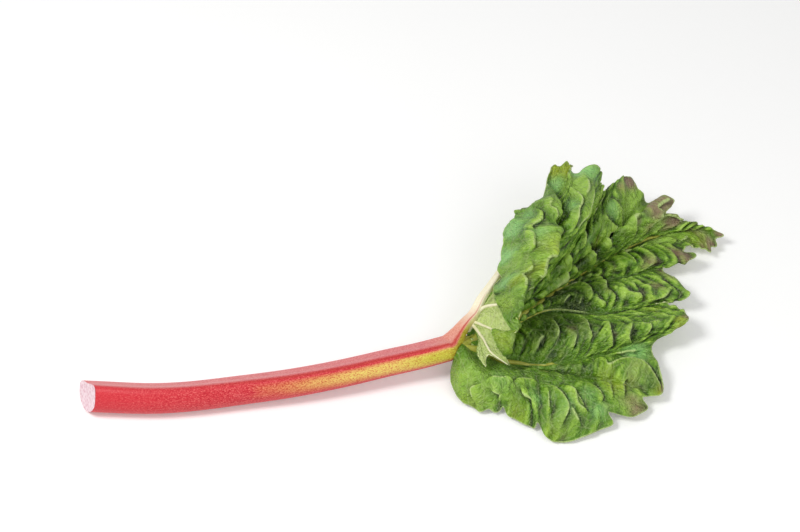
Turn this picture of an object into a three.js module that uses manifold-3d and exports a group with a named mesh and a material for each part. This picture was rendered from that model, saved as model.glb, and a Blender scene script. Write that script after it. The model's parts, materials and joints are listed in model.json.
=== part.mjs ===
// A rhubarb stalk as picked: a long, flat-topped leaf stalk with its crumpled leaf, lying on a table.
// Units are millimetres and +Z is up. The table is z = 0, and the origin is the bottom centre of the
// whole object's box. +X runs from the stalk's cut end towards the leaf, and +Y runs away from the
// long edge that faces the front.
//
// The leaf is described by routes that fan out from the stalk's tip to the leaf's margin. Most of
// them follow a main vein, a valley or a lobe of the leaf. A smooth sheet is drawn over the fan, given
// the blade's thickness, and joined to the raised ribs under it.

import * as THREE from 'three';
import { mergeVertices } from 'three/addons/utils/BufferGeometryUtils.js';
import Module from 'manifold-3d';

const wasm = await Module();
wasm.setup();

// ---- Driving dimensions -------------------------------------------------------------------------

const STALK_TIP = new THREE.Vector3(40.5, -49, 0); // where the blade begins, in plan; heights are absolute
const PIECE_GAP = 0.3; // between the stalk's end and the leaf's base

const STALK = {
  baseWidth: 28, // across the flat upper face, at the cut end
  tipWidth: 23,
  baseDepth: 24, // from the flat face to the rounded back
  tipDepth: 19,
  baseRoll: 38, // degrees that the flat face leans away from the front
  tipRoll: 24,
  flatShare: 0.36, // share of the depth that lies above the widest line
  flatPower: 3.4, // superellipse power of the flat upper part
  backPower: 2.1, // and of the rounded back
  grooveDepth: 1.2, // shallow channel down the flat face
  cutSlant: 33, // degrees between the knife cut and a square cut
  sectionPoints: 20,
  steps: 22,
};

// Middle line of the stalk from the cut end to its tip: x and y from STALK_TIP, z above the table.
const stalkLine = [
  [-296, -48, 12.6], [-247, -50, 12.2], [-218, -48, 12], [-177, -42, 12.5], [-137, -36, 14],
  [-98, -28, 16], [-59, -18, 18.3], [-33, -12, 20.3], [-12, -6, 22],
];

const BLADE = {
  thickness: 1.6,
  startRadius: 7, // the sheet starts this far from the stalk's tip, inside the neck
  sheetRings: 11, // rings of the sheet between the neck and the margin
  lobeSplits: 4, // sheet strips between two neighbouring lobes
  plainSplits: 3, // and between any other two routes
  notchDepth: 0.1, // share of the length by which a notch between two lobes is cut back
  notchWidth: 0.16, // half width of that notch, as a share of the lobe's width
};

const NECK_HEIGHT = 24; // height of the point where all routes start

// Past its tip the stalk forks. These are rings of the upper branch, which turns up and back and
// becomes the back rib: where each one is, and its size as a share of the stalk's own tip.
const neckRings = [
  { at: [-7.5, -0.5, 24.4], size: 0.8 },
  { at: [-2.3, 6.8, 28.5], size: 0.54 },
  { at: [3.3, 13.4, 32], size: 0.46 },
  { at: [9.1, 19.6, 35], size: 0.4 },
];
const FORK = [-8, -4, 23]; // inside the stalk's end: all ribs start here

// Routes from the stalk's tip to the margin, in order round the leaf, from the edge beside the stalk
// on the front side, over the front half, the midrib and the folded far half, to the far edge.
// x and y are from STALK_TIP, z is above the table. lobe marks a rounded lobe of the margin: two
// neighbours that both have it get a notch between them.
const routes = [
  { name: 'front edge', points: [[-3, -11, 30], [-6, -15, 26], [-8, -15, 17], [-9, -17, 9]] },
  { name: 'front base', points: [[1, -16, 30], [-1, -28, 25], [-5, -34, 14], [-7, -36, 5]] },
  { name: 'base lobe', lobe: true, points: [[7, -18, 26], [12, -38, 26], [12, -47, 15], [11, -54, 3]] },
  { name: 'skirt 1', lobe: true, points: [[13, -19, 22], [23, -40, 24], [28, -49, 15], [28, -57, 3]] },
  { name: 'skirt 2', lobe: true, points: [[16, -18, 21], [33, -40, 24], [43, -53, 16], [48, -68, 3]] },
  { name: 'skirt 3', lobe: true, points: [[20, -17, 20], [43, -34, 21], [61, -57, 17], [72, -86, 2]] },
  { name: 'skirt 4', lobe: true, points: [[22, -17, 20], [49, -31, 20], [82, -56, 19], [110, -73, 4]] },
  { name: 'skirt 5', lobe: true, points: [[24, -16, 19], [55, -26, 18], [97, -44, 19], [140, -59, 6]] },
  { name: 'third rib', lobe: true, points: [[24, -15, 18], [59, -22, 15], [102, -30, 13], [158, -39, 9]] },
  { name: 'side hollow', points: [[25, -14, 18], [62, -21, 17], [108, -22, 19], [156, -20, 14]] },
  { name: 'second rib', points: [[25, -12, 17], [65, -17, 14], [112, -5, 14], [153, 5, 15]] },
  { name: 'second lobe', points: [[28, -4, 19], [68, 3, 21], [117, 10, 26], [184, 27, 22]] },
  { name: 'first rib', points: [[31, 19, 16], [71, 47, 11], [118, 41, 13], [169, 51, 15]] },
  { name: 'first lobe', points: [[33, 22, 16], [82, 57, 15], [131, 58, 22], [188, 57, 18]] },
  { name: 'side vein', points: [[34, 24, 15], [88, 75, 9], [134, 85, 10], [171, 95, 13]] },
  { name: 'side lobe', points: [[35, 26, 14], [91, 79, 9], [143, 98, 17], [200, 102, 16]] },
  { name: 'tip hollow', points: [[35, 28, 13], [93, 83, 7], [147, 118, 9], [194, 122, 12]] },
  { name: 'tip hook', points: [[35, 28, 13], [93, 84, 7], [154, 125, 7], [199, 132, 9], [210, 126, 9], [215, 117, 9]] },
  { name: 'midrib', points: [[12, 11, 18], [35, 29, 13], [93, 86, 6], [146, 127, 5], [190, 145, 9], [225, 136, 13]] },
  { name: 'far hollow', points: [[35, 29, 14], [95, 87, 10], [154, 132, 13], [202, 149, 16]] },
  { name: 'far lobe 1', lobe: true, points: [[35, 30, 15], [98, 88, 15], [155, 133, 20], [194, 149, 20]] },
  { name: 'far lobe 2', lobe: true, points: [[36, 31, 18], [101, 89, 23], [148, 132, 32], [182, 161, 30]] },
  { name: 'far valley 1', points: [[35, 32, 20], [103, 97, 22], [138, 132, 24], [162, 163, 28]] },
  { name: 'far ridge 1', points: [[34, 33, 23], [96, 92, 34], [122, 127, 44], [147, 179, 42]] },
  { name: 'far valley 2', points: [[32, 35, 26], [86, 89, 33], [108, 125, 40], [123, 158, 46]] },
  { name: 'far ridge 2', points: [[28, 32, 32], [75, 71, 48], [103, 110, 63], [117, 165, 62]] },
  { name: 'far ridge 3', points: [[24, 31, 36], [67, 72, 50], [93, 106, 66], [95, 160, 62]] },
  { name: 'back lobe', lobe: true, points: [[7, 15, 33], [18, 29, 39], [44, 73, 44], [73, 120, 54], [98, 184, 58]] },
  { name: 'back rib', lobe: true, points: [[7, 15, 33], [17, 29, 39], [41, 73, 44], [65, 121, 54], [79, 172, 58]] },
  {
    name: 'fold lobe 1', lobe: true,
    points: [[7, 15, 33], [19, 28, 40], [54, 72, 60], [81, 101, 76], [73, 113, 76], [65, 120, 66]],
  },
  {
    name: 'fold lobe 2', lobe: true,
    points: [[7, 15, 33], [19, 27, 40], [55, 64, 60], [81, 74, 76], [66, 88, 75], [47, 116, 60]],
  },
  {
    name: 'fold lobe 3', lobe: true,
    points: [[7, 15, 33], [19, 26, 40], [51, 52, 60], [74, 52, 74], [54, 68, 72], [35, 97, 54]],
  },
  {
    name: 'fold lobe 4', lobe: true,
    points: [[7, 13, 33], [19, 25, 40], [47, 41, 57], [65, 35, 70], [48, 45, 67], [31, 63, 50]],
  },
  {
    name: 'fold rib 1', lobe: true,
    points: [[7, 14, 32], [17, 23, 39], [30, 21, 46], [44, 25, 57], [53, 22, 66], [38, 26, 61], [25, 38, 46]],
  },
  {
    name: 'fold hollow',
    points: [[7, 13, 32], [17, 16, 37], [29, 5, 46], [39, -2, 56], [44, -2, 60], [37, 7, 55], [28, 17, 46]],
  },
  {
    name: 'fold rib 2',
    points: [[7, 14, 31], [17, 7, 35], [26, -3, 41], [37, -10, 52], [44, -12, 57], [41, -18, 55], [35, -14, 51]],
  },
  {
    name: 'fold tip',
    points: [[7, 13, 31], [16, 4, 34], [25, -5, 38], [34, -16, 43], [38, -23, 50], [31, -19, 53], [22, -10, 49]],
  },
  {
    name: 'fold corner',
    points: [[7, 13, 31], [15, -1, 34], [22, -14, 36], [31, -26, 38], [37, -28, 43], [32, -29, 47], [25, -24, 45]],
  },
  { name: 'fold rib 3', points: [[7, 13, 30], [15, -3, 33], [21, -20, 35], [31, -28, 32], [36, -29, 28]] },
  { name: 'far notch', points: [[7, 13, 30], [13, -3, 32], [17, -16, 34], [18, -21, 34], [19, -23, 33]] },
  { name: 'far base', points: [[7, 13, 30], [12, -3, 32], [13, -17, 34], [15, -28, 33], [17, -33, 31]] },
  { name: 'far edge', points: [[6, 12, 30], [11, 0, 32], [12, -8, 33], [10, -18, 34], [11, -24, 33]] },
];

// Raised ribs on the blade's underside: the route each follows, and its radius at the neck and margin.
const RIBS = [
  { route: 'back rib', from: 6.0, to: 1.0 },
  { route: 'midrib', from: 5.0, to: 1.2 },
  { route: 'first rib', from: 4.0, to: 1.0 },
  { route: 'second rib', from: 4.5, to: 1.0 },
  { route: 'third rib', from: 3.5, to: 1.0 },
  { route: 'far ridge 1', from: 3.0, to: 1.0 },
  { route: 'fold rib 1', from: 3.0, to: 1.0 },
  { route: 'fold rib 2', from: 2.5, to: 0.9 },
  { route: 'fold rib 3', from: 2.5, to: 0.9 },
];
const RIB_SIDES = 6;
const JOIN_TOLERANCE = 0.06;
const RIB_STEPS = 8;

// ---- Stalk --------------------------------------------------------------------------------------

const mix = THREE.MathUtils.lerp;
const signedPower = (value, power) => Math.sign(value) * Math.abs(value) ** power;
const curveThrough = (points) => new THREE.CatmullRomCurve3(points, false, 'centripetal');

function placed([x, y, z]) {
  return new THREE.Vector3(x + STALK_TIP.x, y + STALK_TIP.y, z);
}

// One point of the stalk's section: u across the flat face, v along its depth.
function sectionPoint(angle, width, depth) {
  const power = 2 / (Math.sin(angle) > 0 ? STALK.flatPower : STALK.backPower);
  const reach = Math.sin(angle) > 0 ? STALK.flatShare * depth : (1 - STALK.flatShare) * depth;
  const u = (width / 2) * signedPower(Math.cos(angle), power);
  let v = reach * signedPower(Math.sin(angle), power);
  if (v > 0) v -= STALK.grooveDepth * Math.exp(-((u / (0.24 * width)) ** 2)) * (v / reach);
  return { u, v: v + (0.5 - STALK.flatShare) * depth };
}

// A solid drawn through closed rings that all have the same number of points.
function loft(rings) {
  const count = rings[0].length;
  const positions = rings.flat().flatMap((p) => [p.x, p.y, p.z]);
  const index = [];
  for (let r = 0; r < rings.length - 1; r += 1) {
    for (let k = 0; k < count; k += 1) {
      const a = r * count + k;
      const b = r * count + ((k + 1) % count);
      index.push(a, a + count, b, b, a + count, b + count);
    }
  }
  const last = (rings.length - 1) * count;
  for (let k = 1; k < count - 1; k += 1) {
    index.push(0, k, k + 1);
    index.push(last, last + k + 1, last + k);
  }
  const geometry = new THREE.BufferGeometry();
  geometry.setAttribute('position', new THREE.Float32BufferAttribute(positions, 3));
  geometry.setIndex(index);
  return geometry;
}

// A ring of the stalk's section round a point of its middle line. lean is how far it is rolled.
function stalkRing(centre, along, width, depth, lean, slant = 0) {
  const side = new THREE.Vector3().crossVectors(along, new THREE.Vector3(0, 0, 1)).normalize();
  const up = new THREE.Vector3().crossVectors(side, along).normalize();
  const roll = THREE.MathUtils.degToRad(lean);
  const across = side.clone().multiplyScalar(Math.cos(roll)).addScaledVector(up, Math.sin(roll));
  const face = up.clone().multiplyScalar(Math.cos(roll)).addScaledVector(side, -Math.sin(roll));
  const ring = [];
  for (let k = 0; k < STALK.sectionPoints; k += 1) {
    const angle = (2 * Math.PI * (k + 0.5)) / STALK.sectionPoints;
    const { u, v } = sectionPoint(angle, width, depth);
    const point = centre.clone().addScaledVector(across, u).addScaledVector(face, v);
    ring.push(point.addScaledVector(along, u * slant));
  }
  return ring;
}

function makeStalk() {
  const line = curveThrough(stalkLine.map(placed));
  const rings = [];
  for (let k = 0; k <= STALK.steps; k += 1) {
    const t = k / STALK.steps;
    const slant = k === 0 ? Math.tan(THREE.MathUtils.degToRad(STALK.cutSlant)) : 0;
    const width = mix(STALK.baseWidth, STALK.tipWidth, t);
    const depth = mix(STALK.baseDepth, STALK.tipDepth, t);
    const lean = mix(STALK.baseRoll, STALK.tipRoll, t);
    rings.push(stalkRing(line.getPointAt(t), line.getTangentAt(t), width, depth, lean, slant));
  }
  return loft(rings);
}

// ---- Leaf ---------------------------------------------------------------------------------------

const tip = placed([0, 0, NECK_HEIGHT]);
const routeCurves = routes.map(({ points }) => curveThrough([tip, ...points.map(placed)]));
const routeLengths = routeCurves.map((curve) => curve.getLength());
const routeNumber = (name) => routes.findIndex((route) => route.name === name);

// Whether the margin has a notch half way between this route and the next.
const notched = (k) => routes[k].lobe && routes[k + 1].lobe;

// How much of its full length the blade has at this place between the routes.
function marginShare(place) {
  let share = 1;
  for (let k = 0; k < routes.length - 1; k += 1) {
    if (!notched(k)) continue;
    const away = (place - (k + 0.5)) / BLADE.notchWidth;
    share -= BLADE.notchDepth * Math.exp(-(away ** 2));
  }
  return share;
}

// Point of the blade's middle surface. place counts routes, share runs from the tip to the margin.
function bladePoint(place, share) {
  const kept = share * (1 - (1 - marginShare(place)) * share ** 3);
  const first = Math.max(0, Math.floor(place) - 1);
  const last = Math.min(routes.length - 1, Math.ceil(place) + 1);
  const ring = [];
  for (let k = first; k <= last; k += 1) {
    const start = BLADE.startRadius / routeLengths[k];
    ring.push(routeCurves[k].getPointAt(mix(start, 1, kept)));
  }
  return curveThrough(ring).getPoint((place - first) / (last - first));
}

// Places between the routes at which the sheet has a column of points.
function columnPlaces() {
  const places = [];
  for (let k = 0; k < routes.length - 1; k += 1) {
    const splits = notched(k) ? BLADE.lobeSplits : BLADE.plainSplits;
    for (let n = 0; n < splits; n += 1) places.push(k + n / splits);
  }
  places.push(routes.length - 1);
  return places;
}

function bladeGrid(places) {
  return places.map((place) => {
    const column = [];
    for (let r = 0; r <= BLADE.sheetRings; r += 1) {
      column.push(bladePoint(place, r / BLADE.sheetRings));
    }
    return column;
  });
}

// Direction of the blade's upper face at a grid point.
function bladeNormal(grid, c, r) {
  const before = grid[Math.max(c - 1, 0)][r];
  const after = grid[Math.min(c + 1, grid.length - 1)][r];
  const inner = grid[c][Math.max(r - 1, 0)];
  const outer = grid[c][Math.min(r + 1, grid[c].length - 1)];
  const round = new THREE.Vector3().subVectors(after, before);
  const out = new THREE.Vector3().subVectors(outer, inner);
  return new THREE.Vector3().crossVectors(out, round).normalize();
}

function makeSheet(grid) {
  const columns = grid.length;
  const rows = grid[0].length;
  const positions = [];
  for (const side of [0.5, -0.5]) {
    grid.forEach((column, c) => column.forEach((point, r) => {
      const shifted = point.clone().addScaledVector(bladeNormal(grid, c, r), side * BLADE.thickness);
      positions.push(shifted.x, shifted.y, shifted.z);
    }));
  }
  const upper = (c, r) => c * rows + r;
  const lower = (c, r) => columns * rows + c * rows + r;
  const index = [];
  const quad = (a, b, c, d) => index.push(a, b, c, a, c, d);
  for (let c = 0; c < columns - 1; c += 1) {
    for (let r = 0; r < rows - 1; r += 1) {
      quad(upper(c, r), upper(c, r + 1), upper(c + 1, r + 1), upper(c + 1, r));
      quad(lower(c, r), lower(c + 1, r), lower(c + 1, r + 1), lower(c, r + 1));
    }
    quad(upper(c, rows - 1), lower(c, rows - 1), lower(c + 1, rows - 1), upper(c + 1, rows - 1));
    quad(upper(c + 1, 0), lower(c + 1, 0), lower(c, 0), upper(c, 0));
  }
  for (let r = 0; r < rows - 1; r += 1) {
    quad(upper(0, r), lower(0, r), lower(0, r + 1), upper(0, r + 1));
    quad(upper(columns - 1, r + 1), lower(columns - 1, r + 1), lower(columns - 1, r), upper(columns - 1, r));
  }
  const geometry = new THREE.BufferGeometry();
  geometry.setAttribute('position', new THREE.Float32BufferAttribute(positions, 3));
  geometry.setIndex(index);
  return geometry;
}

// A round rod of changing radius through a list of points.
function makeRod(points, radii, sides) {
  const line = curveThrough(points);
  const rings = points.map((centre, k) => {
    const along = line.getTangent(k / (points.length - 1));
    const side = new THREE.Vector3().crossVectors(along, new THREE.Vector3(0, 0, 1)).normalize();
    const up = new THREE.Vector3().crossVectors(side, along).normalize();
    return Array.from({ length: sides }, (_, n) => {
      const angle = (2 * Math.PI * n) / sides;
      return centre.clone()
        .addScaledVector(side, radii[k] * Math.cos(angle))
        .addScaledVector(up, radii[k] * Math.sin(angle));
    });
  });
  return loft(rings);
}

function makeRib({ route, from, to }, grid, places) {
  const place = routeNumber(route);
  const column = places.indexOf(place);
  const points = [placed(FORK)];
  const radii = [from];
  for (let k = 1; k <= RIB_STEPS; k += 1) {
    const share = (0.96 * k) / RIB_STEPS;
    const radius = mix(from, to, share ** 0.6);
    const row = Math.round(share * BLADE.sheetRings);
    const under = bladeNormal(grid, column, row).multiplyScalar(-0.6 * radius);
    points.push(bladePoint(place, share).add(under));
    radii.push(radius);
  }
  return makeRod(points, radii, RIB_SIDES);
}

// The neck carries on the stalk's shape past the gap and narrows into the back rib.
function makeNeck() {
  const stalk = curveThrough(stalkLine.map(placed));
  const along = stalk.getTangentAt(1);
  const start = stalk.getPointAt(1).addScaledVector(along, PIECE_GAP);
  const neck = curveThrough([start, ...neckRings.map(({ at }) => placed(at))]);
  const rings = [stalkRing(start, along, STALK.tipWidth, STALK.tipDepth, STALK.tipRoll)];
  neckRings.forEach(({ size }, k) => {
    const t = (k + 1) / neckRings.length;
    const width = size * STALK.tipWidth;
    const depth = size * STALK.tipDepth;
    rings.push(stalkRing(neck.getPoint(t), neck.getTangent(t), width, depth, STALK.tipRoll));
  });
  return loft(rings);
}

// ---- Joining ------------------------------------------------------------------------------------

function toSolid(geometry) {
  const merged = mergeVertices(geometry, 1e-3);
  return new wasm.Manifold(new wasm.Mesh({
    numProp: 3,
    vertProperties: new Float32Array(merged.attributes.position.array),
    triVerts: new Uint32Array(merged.index.array),
  }));
}

function toGeometry(solid) {
  const mesh = solid.getMesh();
  const geometry = new THREE.BufferGeometry();
  geometry.setAttribute('position', new THREE.Float32BufferAttribute(mesh.vertProperties, 3));
  geometry.setIndex([...mesh.triVerts]);
  return geometry;
}

function makeLeaf() {
  const places = columnPlaces();
  const grid = bladeGrid(places);
  let leaf = toSolid(makeSheet(grid)).add(toSolid(makeNeck()));
  for (const rib of RIBS) leaf = leaf.add(toSolid(makeRib(rib, grid, places)));
  leaf = leaf.simplify(JOIN_TOLERANCE);
  // A join can leave crumbs that touch the leaf at a point: only the leaf itself is kept.
  const pieces = toSolid(toGeometry(leaf)).decompose();
  pieces.sort((a, b) => b.volume() - a.volume());
  return toGeometry(pieces[0]);
}

function piece(name, geometry, color, roughness) {
  const shaded = geometry;
  shaded.computeVertexNormals();
  const mesh = new THREE.Mesh(shaded, new THREE.MeshStandardMaterial({ color, roughness, metalness: 0 }));
  mesh.name = name;
  return mesh;
}

const rhubarb = new THREE.Group();
rhubarb.add(piece('petiole', makeStalk(), '#cf3a45', 0.4));
rhubarb.add(piece('leaf_blade', makeLeaf(), '#5d8a34', 0.5));

export default rhubarb;
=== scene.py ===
# %% [markdown]
# # A picked rhubarb stalk with its leaf
# Rhubarb is grown for its thick red leaf stalk, the petiole. This one has been pulled from the crown and laid on a
# table with its leaf still on. The leaf is heavy and crumpled: its far half has folded over towards the stalk, its
# near half hangs down to the table like a skirt.
# We start from two plain solids, one for the stalk and one for the leaf. They say where everything is. Here both are
# replaced by finer shapes that are laid over the same lines, and are given their skins.

import json
import math

import bpy
import numpy as np
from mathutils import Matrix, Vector, noise

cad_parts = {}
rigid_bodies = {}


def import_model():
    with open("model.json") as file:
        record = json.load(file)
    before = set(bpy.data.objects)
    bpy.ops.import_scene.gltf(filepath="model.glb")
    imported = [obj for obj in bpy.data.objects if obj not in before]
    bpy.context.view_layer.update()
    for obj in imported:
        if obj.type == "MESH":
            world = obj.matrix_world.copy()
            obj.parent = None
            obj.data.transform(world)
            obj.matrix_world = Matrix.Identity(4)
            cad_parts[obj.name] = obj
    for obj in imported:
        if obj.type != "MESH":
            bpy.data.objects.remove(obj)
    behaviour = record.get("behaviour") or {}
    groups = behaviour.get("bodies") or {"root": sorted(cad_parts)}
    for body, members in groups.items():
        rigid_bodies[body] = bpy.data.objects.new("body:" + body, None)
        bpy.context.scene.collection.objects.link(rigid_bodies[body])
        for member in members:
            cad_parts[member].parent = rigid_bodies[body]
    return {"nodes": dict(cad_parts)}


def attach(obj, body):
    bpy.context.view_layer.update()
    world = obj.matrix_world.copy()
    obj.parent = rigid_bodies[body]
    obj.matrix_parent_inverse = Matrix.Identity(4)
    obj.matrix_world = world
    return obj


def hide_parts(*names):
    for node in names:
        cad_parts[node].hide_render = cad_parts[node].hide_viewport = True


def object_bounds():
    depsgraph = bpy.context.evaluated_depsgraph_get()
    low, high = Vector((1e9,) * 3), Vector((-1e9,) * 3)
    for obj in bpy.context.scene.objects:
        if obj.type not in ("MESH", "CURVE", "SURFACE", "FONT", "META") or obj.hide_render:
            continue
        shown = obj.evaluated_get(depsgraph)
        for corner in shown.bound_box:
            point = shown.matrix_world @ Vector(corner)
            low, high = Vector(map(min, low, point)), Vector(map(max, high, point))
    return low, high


for thing in list(bpy.data.objects):
    bpy.data.objects.remove(thing)
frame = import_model()
cad_low, cad_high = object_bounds()
print("solids:", sorted(frame["nodes"]), "from", tuple(cad_low), "to", tuple(cad_high))

# %% [markdown]
# ## Working in millimetres
# A leaf is easier to think about in millimetres, and Blender keeps its lengths in metres. So the shapes are worked
# out in millimetres, and multiplied by MM once, when a mesh gets its points. All places are measured from one spot,
# the tip of the stalk, where it meets the leaf. That spot is fixed to the lowest corner of the solids' own box.

# %% Measures
MM = 0.001
TIP_FROM_CORNER = np.array([304.6, 86.4, 0.0])  # the stalk's tip in plan, from the box's lowest corner
corner = np.array([cad_low.x / MM, cad_low.y / MM, 0.0])
stalk_tip = corner + TIP_FROM_CORNER
print("stalk's tip, in plan:", stalk_tip[:2].round(1), "mm")


def from_tip(points):
    """Points measured from the stalk's tip, as places in the frame, in millimetres."""
    return np.asarray(points, float) + stalk_tip


# %% [markdown]
# ## A smooth line through a few points
# Stems, veins and leaf edges bend smoothly. A Catmull-Rom spline passes through every point that it is given, which
# makes it a good tool for copying a real thing: measure some points on it, and the line goes through them all. The
# centripetal kind spaces its steps by the square root of the distances, so it never makes a loop at a tight bend.

# %% Smooth lines
def spline(knots, place):
    """The points at `place` on a spline through `knots`, where place 0 is the first knot and 1 the second."""
    knots = np.asarray(knots, float)
    padded = np.concatenate([[2 * knots[0] - knots[1]], knots, [2 * knots[-1] - knots[-2]]])
    k = np.clip(place.astype(int), 0, len(knots) - 2)
    return blend_four([padded[k + n] for n in range(4)], (place - k)[:, None])


def blend_four(p, f):
    """Between p[1] and p[2], at the share f, on a centripetal spline that also knows its neighbours."""
    gap = [np.sqrt(np.linalg.norm(p[n + 1] - p[n], axis=-1, keepdims=True) + 1e-9) for n in range(3)]
    leave = (p[1] - p[0]) / gap[0] - (p[2] - p[0]) / (gap[0] + gap[1]) + (p[2] - p[1]) / gap[1]
    reach = (p[2] - p[1]) / gap[1] - (p[3] - p[1]) / (gap[1] + gap[2]) + (p[3] - p[2]) / gap[2]
    f2, f3 = f**2, f**3
    return ((2 * f3 - 3 * f2 + 1) * p[1] + (f3 - 2 * f2 + f) * gap[1] * leave
            + (3 * f2 - 2 * f3) * p[2] + (f3 - f2) * gap[1] * reach)


def rise(edge0, edge1, value):
    """0 at edge0, 1 at edge1, and smooth between them."""
    t = np.clip((value - edge0) / (edge1 - edge0), 0, 1)
    return t * t * (3 - 2 * t)


def unit(ways):
    """The same directions, each with a length of 1."""
    return ways / (np.linalg.norm(ways, axis=-1, keepdims=True) + 1e-9)


def run_along(line):
    """How far along the line each of its points lies."""
    return np.concatenate([[0], np.cumsum(np.linalg.norm(np.diff(line, axis=0), axis=1))])


def even_spline(knots, count):
    """`count` points at even distances along the spline through the knots, and its length."""
    dense = spline(knots, np.linspace(0, len(knots) - 1, 40 * len(knots)))
    run = run_along(dense)
    at = np.linspace(0, run[-1], count)
    return np.stack([np.interp(at, run, dense[:, axis]) for axis in range(3)], axis=1), run[-1]


# %% [markdown]
# ## How the leaf lies
# A rhubarb leaf has a few strong ribs that fan out from the stalk, and soft blade between them. So the leaf is
# described by routes that all start at the stalk's tip and end at the leaf's margin. Some follow a rib, others a
# lobe, a hollow or a fold between two ribs. The list goes round the leaf once, from the edge beside the stalk on the
# near side, over the near half, the midrib and the folded far half, to the edge on the far side.
# Each route says how crumpled the blade is there (1 is most), and where it runs, in millimetres from the tip.

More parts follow.
